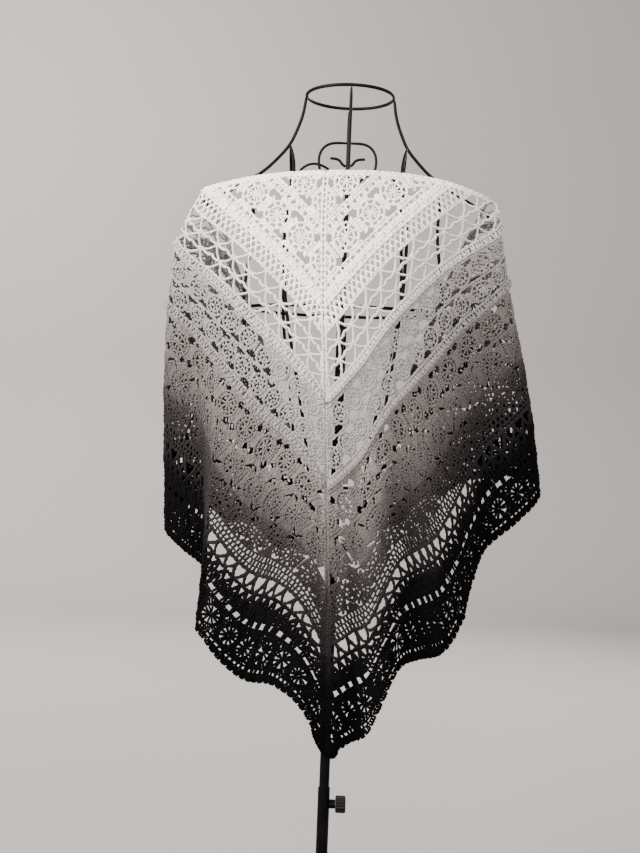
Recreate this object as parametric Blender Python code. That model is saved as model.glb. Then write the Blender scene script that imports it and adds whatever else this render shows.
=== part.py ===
"""Three-cornered lace shawl hanging on an open wire dress form with a pole stand.

Metres, +Z up. The pole stands on the Z axis, the floor is z = 0, the back of the form faces -Y
and its right shoulder (seen from behind) is at +X. The shawl is a flat right-angled triangle whose
long side lies across the back from shoulder to shoulder and then hangs down in front on each side.
"""
import math

import bmesh
import bpy
import numpy as np
from mathutils import Vector
from mathutils.bvhtree import BVHTree

# The flat shawl: reach is its depth on the spine, and half of its span along the top edge.
REACH = 0.862
ROWS = 24
STEP = REACH / math.sqrt(2) / ROWS
WALL = 0.0020
SEAM = 0.00015
RIDGE_HEIGHT = 0.0024
RIDGE_HALF = 0.23
RIDGE_ROWS = (5, 9, 13)
SCALLOP = 0.0065
HOLE_SHARE = 0.66

# Where the top edge passes over the two shoulders, and how far along it from the spine.
TIP_OUT = 0.225
TIP_Y = -0.005
TIP_Z = 1.332
TIP_FLAT = {-1: 0.193, 1: 0.262}

# Side edges of the back panel below the shoulder: drop, outward and forward offsets.
BACK_EDGE = {
    -1: ((0.00, 0.000, 0.000), (0.05, 0.003, -0.012), (0.15, -0.016, -0.032), (0.28, -0.034, -0.046),
         (0.50, -0.028, -0.050), (0.70, -0.014, -0.050)),
    1: ((0.00, 0.000, 0.000), (0.05, -0.002, -0.012), (0.15, -0.030, -0.032), (0.30, -0.048, -0.046),
        (0.45, -0.038, -0.050), (0.63, -0.016, -0.050)),
}
# Outermost line of each sleeve: drop and share of the full spread.
SIDE_SPREAD = {-1: 0.050, 1: 0.105}
SIDE_GROWTH = {
    -1: ((0.00, 0.00), (0.04, 0.36), (0.10, 0.78), (0.15, 0.97), (0.22, 1.08), (0.38, 1.10),
         (0.49, 1.00), (0.60, 0.92)),
    1: ((0.00, 0.00), (0.02, 0.14), (0.06, 0.21), (0.12, 0.29), (0.22, 0.46), (0.32, 0.68),
        (0.42, 0.87), (0.50, 1.00), (0.60, 1.08)),
}
# Plan of the hanging sleeve and front wing, 0.5 m below the shoulder, by angle of the flat cloth
# round the shoulder: share of the back edge, share of the side spread, inward run of the front,
# forward offset, and the folds laid on top (outward, forward).
PLAN = (
    (0, 1.00, 0.00, 0.000, 0.000, 0.000, 0.000),
    (7, 0.66, 0.34, 0.000, 0.004, -0.020, 0.018),
    (13, 0.34, 0.58, 0.000, 0.010, -0.036, 0.014),
    (20, 0.10, 0.80, 0.000, 0.022, -0.018, 0.000),
    (27, 0.00, 0.96, 0.000, 0.040, 0.000, -0.004),
    (35, 0.00, 1.00, 0.000, 0.068, 0.000, 0.000),
    (43, 0.00, 0.86, 0.000, 0.102, 0.000, 0.000),
    (50, 0.00, 0.50, -0.002, 0.131, 0.000, 0.000),
    (57, 0.00, 0.14, -0.018, 0.146, 0.000, 0.002),
    (64, 0.00, 0.00, -0.046, 0.152, 0.000, -0.022),
    (71, 0.00, 0.00, -0.080, 0.155, 0.000, 0.010),
    (78, 0.00, 0.00, -0.112, 0.156, 0.000, -0.026),
    (84, 0.00, 0.00, -0.144, 0.154, 0.000, 0.008),
    (90, 0.00, 0.00, -0.178, 0.150, 0.000, -0.004),
)
PLAN_DROP = 0.5
# How much longer the cloth hangs than it lies flat, once it is well below the shoulders: across the
# back from the left edge to the right one, and the extra length at the side of each sleeve.
BACK_STRETCH = ((-0.193, 1.035), (-0.120, 1.028), (-0.075, 0.974), (-0.036, 0.962), (0.000, 1.000),
                (0.040, 1.030), (0.070, 1.050), (0.098, 1.010), (0.120, 0.992), (0.160, 1.026),
                (0.215, 1.088), (0.262, 1.100))
SLEEVE_STRETCH = {-1: 0.125, 1: 0.056}
STRETCH_FROM = 0.55
BACK_BULGE = ((0.00, 0.082), (0.12, 0.074), (0.30, 0.062), (0.87, 0.060))
SPINE_SWAY = 0.031
# Upright flutes of the back panel: place across the flat cloth, depth and half width.
FLUTES = (
    (-0.172, 0.012, 0.030), (-0.105, -0.014, 0.034), (-0.040, 0.012, 0.030), (0.052, -0.020, 0.026),
    (0.098, 0.014, 0.024), (0.150, -0.012, 0.028), (0.210, 0.012, 0.030),
)

# Bands of the pattern between two rows, with colour and the rows of cells that are cut open.
BANDS = (
    ("yoke", 0, 5, (0.86, 0.82, 0.79), {3: 3}),
    ("net", 5, 9, (0.60, 0.58, 0.56), {6: 1, 7: 1, 8: 1}),
    ("fan", 9, 13, (0.42, 0.40, 0.39), {10: 3}),
    ("flower", 13, 17, (0.23, 0.20, 0.21), {15: 3}),
    ("dark_net", 17, 20, (0.06, 0.05, 0.055), {17: 1, 18: 2}),
    ("border", 20, 24, (0.008, 0.007, 0.008), {22: 4}),
)

# The wire form.
WIRE = 0.0020
THIN_WIRE = 0.0016
FIT = 0.0004
NECK_Z = 1.486
NECK_RADIUS = 0.070
BUST_Z = 1.145
WAIST_Z = 0.860
HUB_Z = 0.775
HUB_RADIUS = 0.017
HUB_HEIGHT = 0.014
# Half width, back depth and front depth of the torso by height.
TORSO = (
    (0.86, 0.118, 0.070, 0.074), (0.95, 0.124, 0.076, 0.084), (1.06, 0.146, 0.084, 0.102),
    (1.145, 0.158, 0.084, 0.104), (1.24, 0.150, 0.078, 0.088), (1.31, 0.140, 0.066, 0.066),
)

RING_PIECES = 28
HOOP_PIECES = 32
# Centre wires between the neck ring and the torso: forward from the pole axis and height.
CENTRE_BACK = ((-0.066, 1.43), (-0.062, 1.37))
CENTRE_FRONT = ((0.062, 1.43), (0.056, 1.37))
CENTRE_TOP_Z = 1.30
UPRIGHT_TOP_Z = 1.27
# Shoulder wire from under the neck ring: outward and height.
SHOULDER = ((0.0735, 1.4600), (0.0797, 1.4385), (0.0924, 1.4090), (0.1092, 1.3875), (0.1340, 1.3630),
            (0.1680, 1.3410))
# Round knobs at the shoulder tips, as places on the flat cloth beyond and below the tip.
KNOB_BALL = 0.0055
KNOB_BEYOND = 0.010
KNOB_DOWN = 0.014
KNOB_SEARCH = 0.030
# Where the upright wires leave the shoulder wires, and where they reach the chest.
BRANCH_OUT = 0.0929
BRANCH_SIDE = 0.0037
BRANCH_Z = 1.4065
BACK_CHEST = (0.0825, -0.050, 1.355)
FRONT_CHEST = (0.0900, 0.052, 1.345)
BACK_ANGLES = (34.0, 20.0)
FRONT_ANGLES = (142.0, 146.0)
SIDE_TOP = (0.150, 0.0, 1.3475)
SIDE_CHEST = (0.149, 0.0, 1.315)
# Scrolls at the front of the neck: heights where they meet the centre wire, and the points between
# as outward and height.
SLANT_FIT = 0.0008
NECK_SCROLL_TOP = 1.427
NECK_SCROLL_FOOT = 1.344
NECK_CURL_START = 1.388
NECK_SCROLL = ((0.0260, 1.4265), (0.0405, 1.4180), (0.0475, 1.4000), (0.0430, 1.3740), (0.0250, 1.3500))
NECK_CURL = ((0.0080, 1.3905), (0.0120, 1.3965), (0.0175, 1.3995), (0.0230, 1.4003), (0.0285, 1.4005))
# Scroll between the back wires above the waist, by angle round the torso and height.
WAIST_SCROLL = ((22.2, 0.905), (36, 0.886), (52, 0.884), (64, 0.905), (66, 0.935), (56, 0.960),
                (42, 0.962), (36, 0.942), (43, 0.926), (51, 0.936))

# The stand.
BASE_RADIUS = 0.150
BASE_THICK = 0.005
BASE_FLOOR = 0.003
BASE_BEVEL = 0.0015
BASE_SIDES = 40
COLLAR_FOOT = 0.030
COLLAR_RISE = 0.004
COLLAR_RADIUS = 0.018
COLLAR_TOP = 0.030
TUBE_OUTER = 0.0095
TUBE_INNER = 0.0083
POLE_RADIUS = 0.0080
TUBE_TOP = 0.386
POLE_BOTTOM = 0.140
POLE_TOP = 1.120
BRACKET_REACH = 0.050
BRACKET_DROP = 0.004
BRACKET_BEND = 0.045
BRACKET_INSET = 0.90
SCREW_Z = 0.360
SCREW_RADIUS = 0.0025
BOSS_RADIUS = 0.0070
BOSS_END = 0.0185
KNOB_RADIUS = 0.0135
KNOB_END = 0.0350
ROUND_SIDES = 24


def smooth(t):
    """Rise from 0 to 1 with level ends."""
    t = np.clip(t, 0.0, 1.0)
    return t * t * (3.0 - 2.0 * t)


def read_table(table, column, at):
    """Smooth value of one column of a table with a rising first column, at each given place."""
    keys = np.array([row[0] for row in table], dtype=float)
    values = np.array([row[column] for row in table], dtype=float)
    slopes = np.gradient(values, keys)
    at = np.clip(at, keys[0], keys[-1])
    cell = np.clip(np.searchsorted(keys, at, side="right") - 1, 0, len(keys) - 2)
    width = keys[cell + 1] - keys[cell]
    t = (at - keys[cell]) / width
    start = (1.0 + 2.0 * t) * (1.0 - t) ** 2 * values[cell] + t * (1.0 - t) ** 2 * width * slopes[cell]
    end = t * t * (3.0 - 2.0 * t) * values[cell + 1] + t * t * (t - 1.0) * width * slopes[cell + 1]
    return start + end


def edge_place(side, drop):
    """Outward and forward offset of the back panel's side edge at a drop below the shoulder."""
    return read_table(BACK_EDGE[side], 1, drop), read_table(BACK_EDGE[side], 2, drop)


def hang(length, stretch):
    """Hanging length of a flat length: short ones keep it, long ones are stretched."""
    return length * (1.0 + (stretch - 1.0) * smooth(length / STRETCH_FROM))


def drape_back(across, down):
    """Hanging position of flat points between the two shoulders."""
    share = (across + TIP_FLAT[-1]) / (TIP_FLAT[-1] + TIP_FLAT[1])
    left_out, left_y = edge_place(-1, down)
    right_out, right_y = edge_place(1, down)
    left_x = -TIP_OUT - left_out
    right_x = TIP_OUT + right_out
    middle = 1.0 - (2.0 * share - 1.0) ** 2
    x = left_x + (right_x - left_x) * share + SPINE_SWAY * middle * down / REACH
    y = TIP_Y + left_y + (right_y - left_y) * share - read_table(BACK_BULGE, 1, down) * middle
    swell = smooth((down - 0.22) / 0.50) * smooth(middle * 4.0)
    for place, depth, half_width in FLUTES:
        y = y - depth * swell * np.exp(-((across - place) / half_width) ** 2)
    crown = 0.018 * (1.0 - np.abs(2.0 * share - 1.0) ** 3) + 0.006 * middle * (2.0 * share - 1.0)
    stretch = read_table(BACK_STRETCH, 1, across)
    z = TIP_Z + crown * smooth(1.0 - down / 0.30) - hang(down, stretch)
    return np.stack([x, y, z], axis=-1)


def drape_side(side, beyond, down):
    """Hanging position of flat points past a shoulder: the cloth falls round the shoulder tip."""
    run = np.hypot(beyond, down)
    angle = np.degrees(np.arctan2(beyond, down))
    edge_out, edge_y = edge_place(side, run)
    drop_share = run / PLAN_DROP
    spread = SIDE_SPREAD[side] * read_table(SIDE_GROWTH[side], 1, run * 1.15)
    forward_growth = 0.65 * drop_share + 0.35 * (1.0 - np.exp(-run / 0.10))
    fold_growth = drop_share * smooth((run - 0.05) / 0.22)
    edge_share = read_table(PLAN, 1, angle)
    out = edge_share * edge_out + read_table(PLAN, 2, angle) * spread
    out = out + read_table(PLAN, 3, angle) * drop_share + read_table(PLAN, 5, angle) * fold_growth
    ahead = edge_share * edge_y + read_table(PLAN, 4, angle) * forward_growth
    ahead = ahead + read_table(PLAN, 6, angle) * fold_growth
    sideways = np.hypot(out - edge_out, ahead - edge_y)
    slant = 0.6 * np.tanh(0.8 / 0.6 * (sideways / np.maximum(run, 1e-6)) ** 2)
    edge_stretch = read_table(BACK_STRETCH, 1, side * TIP_FLAT[side])
    stretch = edge_stretch + SLEEVE_STRETCH[side] * np.sin(np.radians(2.0 * angle))
    drop = hang(run, stretch) * np.sqrt(1.0 - slant)
    return np.stack([side * (TIP_OUT + out), TIP_Y + ahead, TIP_Z - drop], axis=-1)


def drape(across, down):
    """Hanging position of points of the flat shawl: across from the spine, down from its top edge."""
    across = np.asarray(across, dtype=float)
    down = np.asarray(down, dtype=float)
    left = drape_side(-1, np.maximum(-across - TIP_FLAT[-1], 0.0), down)
    right = drape_side(1, np.maximum(across - TIP_FLAT[1], 0.0), down)
    back = drape_back(np.clip(across, -TIP_FLAT[-1], TIP_FLAT[1]), down)
    past_left = (across < -TIP_FLAT[-1])[..., None]
    past_right = (across > TIP_FLAT[1])[..., None]
    return np.where(past_left, left, np.where(past_right, right, back))


def outward(across, down, reach=0.006):
    """Unit normals of the hanging cloth, pointing away from the form."""
    along = drape(across + reach, down) - drape(across - reach, down)
    low = drape(across, down + reach)
    high = drape(across, np.maximum(down - reach, 0.0))
    normal = -np.cross(along, low - high)
    return normal / np.linalg.norm(normal, axis=-1, keepdims=True)


def material(name, colour, roughness, metallic=0.0):
    """A Principled material, one for each sub-part."""
    made = bpy.data.materials.new(name)
    made.use_nodes = True
    shader = made.node_tree.nodes["Principled BSDF"]
    shader.inputs["Base Color"].default_value = (*colour, 1.0)
    shader.inputs["Roughness"].default_value = roughness
    shader.inputs["Metallic"].default_value = metallic
    return made


def add_object(name, data, finish):
    """Put a mesh or curve into the scene with its finish."""
    data.materials.append(finish)
    made = bpy.data.objects.new(name, data)
    bpy.context.scene.collection.objects.link(made)
    return made


def row_places(first, last):
    """Row positions of one band, with an extra row beside each raised ridge."""
    places = [float(row) for row in range(first, last + 1)]
    if first in RIDGE_ROWS:
        places.append(first + RIDGE_HALF)
    if last in RIDGE_ROWS:
        places.append(last - RIDGE_HALF)
    return sorted(places)


def row_columns(place):
    """Column positions of a row, from the spine to the top edge."""
    inner = [float(k) for k in range(-math.ceil(place) + 1, math.ceil(place))]
    return [-place] + inner + [place]


class BandMesh:
    """Closed wall of one half of one band, built from the flat lattice of rows and columns."""

    def __init__(self, side, first, last):
        self.side = side
        self.first = first
        self.last = last
        self.middles = []
        self.normals = []
        self.lifts = []
        self.keys = []
        self.faces = []

    def add_points(self, places, columns, lift=0.0):
        """Add lattice points and return their numbers."""
        places = np.asarray(places, dtype=float)
        columns = np.asarray(columns, dtype=float)
        rows = places * STEP
        rows = np.where(places == self.first, rows + SEAM * (self.first > 0), rows)
        rows = np.where(places == self.last, rows - SEAM * (self.last < ROWS), rows)
        offsets = columns * STEP
        across = np.maximum((rows + offsets) / math.sqrt(2), SEAM)
        down = np.maximum((rows - offsets) / math.sqrt(2), 0.0)
        points = drape(self.side * across, down)
        flat_across = np.maximum((places + columns) * STEP / math.sqrt(2), 0.0)
        normals = outward(self.side * flat_across, down)
        start = len(self.middles)
        self.middles.extend(points)
        self.normals.extend(normals)
        self.lifts.extend([lift] * len(points))
        self.keys.extend(zip(columns.tolist(), places.tolist()))
        return list(range(start, start + len(points)))

    def add_face(self, corners):
        """Add one face, given in rising column order, split the same way inside and outside."""
        order = corners if self.side < 0 else corners[::-1]
        for second in range(1, len(order) - 1):
            self.faces.append((order[0], order[second], order[second + 1]))

    def add_open_cell(self, corners):
        """Add a cell with a gap in its middle."""
        points = np.array([self.middles[corner] for corner in corners])
        normals = np.array([self.normals[corner] for corner in corners])
        start = len(self.middles)
        for corner in range(4):
            self.middles.append(points.mean(axis=0) + HOLE_SHARE * (points[corner] - points.mean(axis=0)))
            self.normals.append(normals[corner])
            self.lifts.append(0.0)
            self.keys.append((float(corner), 0.0))
        for corner in range(4):
            other = (corner + 1) % 4
            self.add_face([corners[corner], corners[other], start + other, start + corner])

    def build(self, open_rows):
        """Lay all cells of the band and return a closed Blender mesh."""
        places = row_places(self.first, self.last)
        previous = None
        for number, place in enumerate(places):
            columns = row_columns(place) if place > 0 else [0.0]
            lift = RIDGE_HEIGHT if place in RIDGE_ROWS else 0.0
            current = self.add_points([place] * len(columns), columns, lift)
            if previous is not None:
                low = places[number - 1]
                every = open_rows.get(int(low), 0) if place - low > 0.5 else 0
                self.join_rows(previous, current, every)
            previous = current
        if self.last == ROWS:
            self.add_scallops(previous)
        return self.close()

    def join_rows(self, low, high, every):
        """Lay the cells between two rows; the outer ends are three-cornered where a column starts."""
        extra = (len(high) - len(low)) // 2
        for cell in range(len(low) - 1):
            corners = [low[cell], low[cell + 1], high[cell + 1 + extra], high[cell + extra]]
            inside = 0 < cell < len(low) - 2
            if every and inside and cell % every == 0:
                self.add_open_cell(corners)
            else:
                self.add_face(corners)
        if extra:
            self.add_face([low[0], high[1], high[0]])
            self.add_face([low[-1], high[-1], high[-2]])

    def add_scallops(self, edge):
        """Round the hem out between the columns."""
        columns = row_columns(float(ROWS))
        middles = [(a + b) / 2.0 for a, b in zip(columns, columns[1:])]
        quarter = SCALLOP / STEP
        tips = self.add_points([ROWS + quarter] * len(middles), middles)
        for cell, tip in enumerate(tips):
            self.add_face([edge[cell], edge[cell + 1], tip])

    def close(self):
        """Give the lattice its thickness and close the rims, split the same way on both sides of a seam."""
        middles = np.array(self.middles)
        normals = np.array(self.normals)
        lifts = np.array(self.lifts)[:, None]
        outer = middles + normals * (WALL / 2.0 + lifts)
        inner = middles - normals * WALL / 2.0
        count = len(middles)
        faces = list(self.faces)
        faces.extend((c + count, b + count, a + count) for a, b, c in self.faces)
        edges = set()
        for face in self.faces:
            for corner in range(3):
                edges.add((face[corner], face[(corner + 1) % 3]))
        for a, b in sorted(edges):
            if (b, a) in edges:
                continue
            if self.keys[a] < self.keys[b]:
                faces.append((a, a + count, b + count))
                faces.append((a, b + count, b))
            else:
                faces.append((b, a, a + count))
                faces.append((b, a + count, b + count))
        mesh = bpy.data.meshes.new("band")
        mesh.from_pydata(np.concatenate([outer, inner]).tolist(), [], faces)
        mesh.update()
        return mesh


def build_cloth():
    """Both halves of each band of the shawl."""
    made = []
    for name, first, last, colour, open_rows in BANDS:
        finish = material("yarn_" + name, colour, 0.85)
        for side, word in ((-1, "left"), (1, "right")):
            mesh = BandMesh(side, first, last).build(open_rows)
            made.append(add_object(f"shawl_{name}_{word}", mesh, finish))
    return made


def cloth_tree(cloth):
    """Search tree over all faces of the cloth."""
    points = []
    faces = []
    for piece in cloth:
        start = len(points)
        points.extend(vertex.co.copy() for vertex in piece.data.vertices)
        faces.extend([start + corner for corner in face.vertices] for face in piece.data.polygons)
    return BVHTree.FromPolygons(points, faces)


def through_points(points, pieces):
    """Smooth route through a short list of points, as that many pieces between each two."""
    points = np.array(points, dtype=float)
    ends = np.concatenate([[2 * points[0] - points[1]], points, [2 * points[-1] - points[-2]]])
    route = []
    for cell in range(len(points) - 1):
        a, b, c, d = ends[cell:cell + 4]
        for part in range(pieces):
            t = part / pieces
            curve = 2 * b + (c - a) * t + (2 * a - 5 * b + 4 * c - d) * t ** 2
            route.append((curve + (3 * b - a - 3 * c + d) * t ** 3) / 2.0)
    route.append(points[-1])
    return np.array(route)


def wire(name, route, radius, finish, closed=False):
    """Round wire along a route, with six sides and filled ends."""
    curve = bpy.data.curves.new(name, "CURVE")
    curve.dimensions = "3D"
    curve.bevel_depth = radius
    curve.bevel_resolution = 1
    curve.use_fill_caps = True
    spline = curve.splines.new("POLY")
    spline.points.add(len(route) - 1)
    for point, place in zip(spline.points, route):
        point.co = (*place, 1.0)
    spline.use_cyclic_u = closed
    return add_object(name, curve, finish)


def torso_point(angle, height, inset=0.0):
    """Point of the torso at an angle from straight back (0), by way of +X (90), at a height."""
    half_width = read_table(TORSO, 1, height) - inset
    back = read_table(TORSO, 2, height) - inset
    front = read_table(TORSO, 3, height) - inset
    turn = math.radians(angle)
    depth = back if math.cos(turn) > 0 else front
    return np.array([half_width * math.sin(turn), -depth * math.cos(turn), height])


def torso_wire(high_angle, low_angle, top):
    """Upright route on the torso, passing exactly through the heights of the two hoops."""
    heights = [top, (top + BUST_Z) / 2.0, BUST_Z, 1.05, 0.95, WAIST_Z]
    route = []
    for height in heights:
        share = (BUST_Z - height) / (BUST_Z - WAIST_Z)
        route.append(torso_point(high_angle + (low_angle - high_angle) * share, height))
    return route


def hoop(height, inset, pieces):
    """Level hoop inside the upright wires."""
    return [torso_point(360.0 * piece / pieces, height, inset) for piece in range(pieces)]


def mirror_route(route):
    """The same route on the other side."""
    return np.array(route) * np.array([-1.0, 1.0, 1.0])


def build_form(cloth):
    """Wires of the dress form, above the pole."""
    black = material("black_wire", (0.012, 0.012, 0.013), 0.42, 0.6)
    tree = cloth_tree(cloth)
    joint = WIRE * 2.0 + FIT
    ring = []
    for piece in range(RING_PIECES):
        turn = math.radians(360.0 * piece / RING_PIECES)
        ring.append((NECK_RADIUS * math.sin(turn), -NECK_RADIUS * math.cos(turn), NECK_Z))
    wire("neck_ring", ring, WIRE, black, closed=True)
    wire("bust_hoop", hoop(BUST_Z, joint, HOOP_PIECES), WIRE, black, closed=True)
    wire("waist_hoop", hoop(WAIST_Z, joint, HOOP_PIECES), WIRE, black, closed=True)

    under_ring = NECK_Z - WIRE - FIT
    back_neck = [(0.0, -NECK_RADIUS, under_ring)] + [(0.0, y, z) for y, z in CENTRE_BACK]
    centre_back = back_neck + torso_wire(0, 0, CENTRE_TOP_Z)
    front_neck = [(0.0, NECK_RADIUS, under_ring)] + [(0.0, y, z) for y, z in CENTRE_FRONT]
    centre_front = front_neck + torso_wire(180, 180, CENTRE_TOP_Z)
    wire("centre_back_wire", through_points(centre_back, 2), WIRE, black)
    wire("centre_front_wire", through_points(centre_front, 2), WIRE, black)

    shoulder = [(NECK_RADIUS, 0.0, under_ring)] + [(x, 0.0, z) for x, z in SHOULDER]
    for side, word in ((-1, "left"), (1, "right")):
        knob = settle_knob(tree, side)
        tip = np.array([side * 1.0, 1.0, 1.0]) * np.array(knob)
        run = (tip - shoulder[-1]) / np.linalg.norm(tip - shoulder[-1])
        route = through_points(shoulder + [tip - run * (KNOB_BALL + FIT)], 3)
        route = route if side > 0 else mirror_route(route)
        wire(f"shoulder_wire_{word}", route, WIRE, black)
        add_knob(f"shoulder_knob_{word}", knob, black)
        pairs = (("back_princess", -BRANCH_SIDE, BACK_CHEST, BACK_ANGLES),
                 ("front_princess", BRANCH_SIDE, FRONT_CHEST, FRONT_ANGLES))
        for name, start_y, chest, angles in pairs:
            start = (BRANCH_OUT, start_y, BRANCH_Z)
            route = through_points([start, chest] + torso_wire(*angles, UPRIGHT_TOP_Z), 2)
            route = route if side > 0 else mirror_route(route)
            wire(f"{name}_{word}", route, WIRE, black)
        route = through_points([SIDE_TOP, SIDE_CHEST] + torso_wire(90, 90, UPRIGHT_TOP_Z), 2)
        route = route if side > 0 else mirror_route(route)
        wire(f"side_wire_{word}", route, WIRE, black)
    build_trim(black, through_points(centre_front, 2))
    build_hub(black)


def settle_knob(tree, side):
    """Centre of the round knob that carries the cloth: just under it, at the shoulder tip."""
    across = side * (TIP_FLAT[side] + KNOB_BEYOND)
    aim = Vector(outward(across, KNOB_DOWN))
    seat = Vector(drape(across, KNOB_DOWN))
    near, far = 0.0, KNOB_SEARCH
    for _ in range(40):
        middle = (near + far) / 2.0
        distance = tree.find_nearest(seat - aim * middle)[3]
        if distance < KNOB_BALL + FIT:
            near = middle
        else:
            far = middle
    return seat - aim * far


def add_knob(name, centre, finish):
    """Small round end of a shoulder wire."""
    shape = bmesh.new()
    bmesh.ops.create_icosphere(shape, subdivisions=2, radius=KNOB_BALL)
    mesh = bpy.data.meshes.new(name)
    shape.to_mesh(mesh)
    shape.free()
    made = add_object(name, mesh, finish)
    made.location = centre


def at_height(route, height):
    """Point of a falling route at a height."""
    route = np.array(route)[::-1]
    return np.array([np.interp(height, route[:, 2], route[:, axis]) for axis in range(3)])


def build_trim(finish, centre_route):
    """Scrolls of thin wire at the front of the neck and at the back of the waist."""
    beside = np.array([WIRE + FIT, 0.0, 0.0])
    slant = np.array([SLANT_FIT, 0.0, 0.0])
    top = at_height(centre_route, NECK_SCROLL_TOP) + beside
    foot = at_height(centre_route, NECK_SCROLL_FOOT) + beside + slant
    start = at_height(centre_route, NECK_CURL_START) + beside + slant
    outwards = np.array([1.0, 0.0, 0.0])
    scroll = [at_height(centre_route, z) + outwards * x for x, z in NECK_SCROLL]
    curl = [at_height(centre_route, z) + outwards * x for x, z in NECK_CURL]
    scroll = [top] + scroll + [foot]
    curl = [start] + curl
    inset = WIRE + THIN_WIRE + FIT
    for side, word in ((-1, "left"), (1, "right")):
        flip = np.array([side * 1.0, 1.0, 1.0])
        wire(f"neck_scroll_{word}", through_points(np.array(scroll) * flip, 2), THIN_WIRE, finish)
        wire(f"neck_curl_{word}", through_points(np.array(curl) * flip, 2), THIN_WIRE, finish)
        waist = [torso_point(side * angle, height, inset) for angle, height in WAIST_SCROLL]
        wire(f"waist_scroll_{word}", through_points(waist, 2), THIN_WIRE, finish)


def add_turned(name, profile, finish, sides=ROUND_SIDES):
    """Solid turned about the pole axis from a profile of radius and height, axis to axis or closed."""
    shape = bmesh.new()
    points = [shape.verts.new((radius, 0.0, height)) for radius, height in profile]
    closed = profile[0][0] > 0.0
    edges = [shape.edges.new(pair) for pair in zip(points, points[1:])]
    if closed:
        edges.append(shape.edges.new((points[-1], points[0])))
    bmesh.ops.spin(shape, geom=points + edges, cent=(0, 0, 0), axis=(0, 0, 1), angle=2 * math.pi,
                   steps=sides, use_merge=True)
    bmesh.ops.remove_doubles(shape, verts=shape.verts, dist=1e-6)
    bmesh.ops.recalc_face_normals(shape, faces=shape.faces)
    mesh = bpy.data.meshes.new(name)
    shape.to_mesh(mesh)
    shape.free()
    return add_object(name, mesh, finish)


def add_cylinder(name, radius, start, end, height, finish, sides=ROUND_SIDES):
    """Round bar along X between two places, at a height."""
    shape = bmesh.new()
    bmesh.ops.create_cone(shape, cap_ends=True, segments=sides, radius1=radius, radius2=radius,
                          depth=end - start)
    mesh = bpy.data.meshes.new(name)
    shape.to_mesh(mesh)
    shape.free()
    made = add_object(name, mesh, finish)
    made.location = ((start + end) / 2.0, 0.0, height)
    made.rotation_euler = (0.0, math.pi / 2.0, 0.0)
    return made


def combine(target, other, operation):
    """Join or cut one solid with another and keep the other as a hidden guide."""
    cut = target.modifiers.new(operation.lower() + "_" + other.name, "BOOLEAN")
    cut.object = other
    cut.operation = operation
    cut.solver = "EXACT"
    other.hide_render = True
    other.display_type = "WIRE"


def build_hub(finish):
    """Disc on the pole that carries the waist hoop by four curved brackets."""
    add_turned("pole", ((0.0, POLE_BOTTOM), (POLE_RADIUS, POLE_BOTTOM), (POLE_RADIUS, POLE_TOP),
                        (0.0, POLE_TOP)), finish)
    inner = POLE_RADIUS + FIT
    add_turned("waist_hub", ((inner, HUB_Z - HUB_HEIGHT), (HUB_RADIUS, HUB_Z - HUB_HEIGHT),
                             (HUB_RADIUS, HUB_Z), (inner, HUB_Z)), finish)
    names = ("back", "right", "front", "left")
    for number, word in enumerate(names):
        turn = 45.0 + 90.0 * number
        high = torso_point(turn, WAIST_Z, WIRE * 2.0 + FIT) - np.array([0.0, 0.0, WIRE + FIT])
        direction = np.array([math.sin(math.radians(turn)), -math.cos(math.radians(turn)), 0.0])
        start = direction * (HUB_RADIUS + FIT) + np.array([0.0, 0.0, HUB_Z - HUB_HEIGHT / 2.0])
        middle = direction * BRACKET_REACH + np.array([0.0, 0.0, HUB_Z - BRACKET_DROP])
        bend = high * np.array([BRACKET_INSET, BRACKET_INSET, 1.0]) - np.array([0.0, 0.0, BRACKET_BEND])
        wire(f"bracket_{word}", through_points([start, middle, bend, high], 3), WIRE, finish)


def build_stand():
    """Weighted base, lower tube with its clamp boss, and thumb screw."""
    black = material("stand_black", (0.012, 0.012, 0.013), 0.40, 0.5)
    plastic = material("knob_plastic", (0.010, 0.010, 0.011), 0.35)
    foot_inner = TUBE_OUTER + FIT
    add_turned("base", ((0.0, 0.0), (BASE_RADIUS, 0.0), (BASE_RADIUS, BASE_THICK - BASE_BEVEL),
                        (BASE_RADIUS - BASE_BEVEL, BASE_THICK), (COLLAR_FOOT, BASE_THICK + COLLAR_RISE),
                        (COLLAR_RADIUS, COLLAR_TOP), (foot_inner, COLLAR_TOP), (foot_inner, BASE_FLOOR),
                        (0.0, BASE_FLOOR)), black, BASE_SIDES)
    foot = BASE_FLOOR + FIT
    tube = add_turned("lower_tube", ((TUBE_INNER, foot), (TUBE_OUTER, foot), (TUBE_OUTER, TUBE_TOP),
                                     (TUBE_INNER, TUBE_TOP)), black)
    boss = add_cylinder("boss_guide", BOSS_RADIUS, TUBE_INNER + 0.0006, BOSS_END, SCREW_Z, black)
    hole = add_cylinder("hole_guide", SCREW_RADIUS + FIT, 0.0, BOSS_END + 0.01, SCREW_Z, black, 16)
    combine(tube, boss, "UNION")
    combine(tube, hole, "DIFFERENCE")
    knob = add_cylinder("thumb_screw", SCREW_RADIUS, POLE_RADIUS + FIT, KNOB_END - 0.004, SCREW_Z,
                        plastic, 16)
    grip = add_cylinder("grip_guide", KNOB_RADIUS, BOSS_END + FIT, KNOB_END, SCREW_Z, plastic)
    combine(knob, grip, "UNION")


def main():
    """Build the shawl, the form and the stand."""
    for old in list(bpy.data.objects):
        bpy.data.objects.remove(old, do_unlink=True)
    cloth = build_cloth()
    build_form(cloth)
    build_stand()


main()
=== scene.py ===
"""Looks of the lace shawl on its wire dress form: crocheted yarn, painted wire, stand, floor and light.

Metres, +Z up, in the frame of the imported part. Each half of the shawl is a flat right-angled
triangle. A flat point is given by its row (distance from the row at the neck, square to the rows)
and by its place along the row, which runs from minus the row at the spine to the row at the top edge.
"""
import logging
import math
from collections.abc import Callable, Iterable, Sequence
from dataclasses import dataclass, field
from enum import Enum, IntEnum

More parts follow.
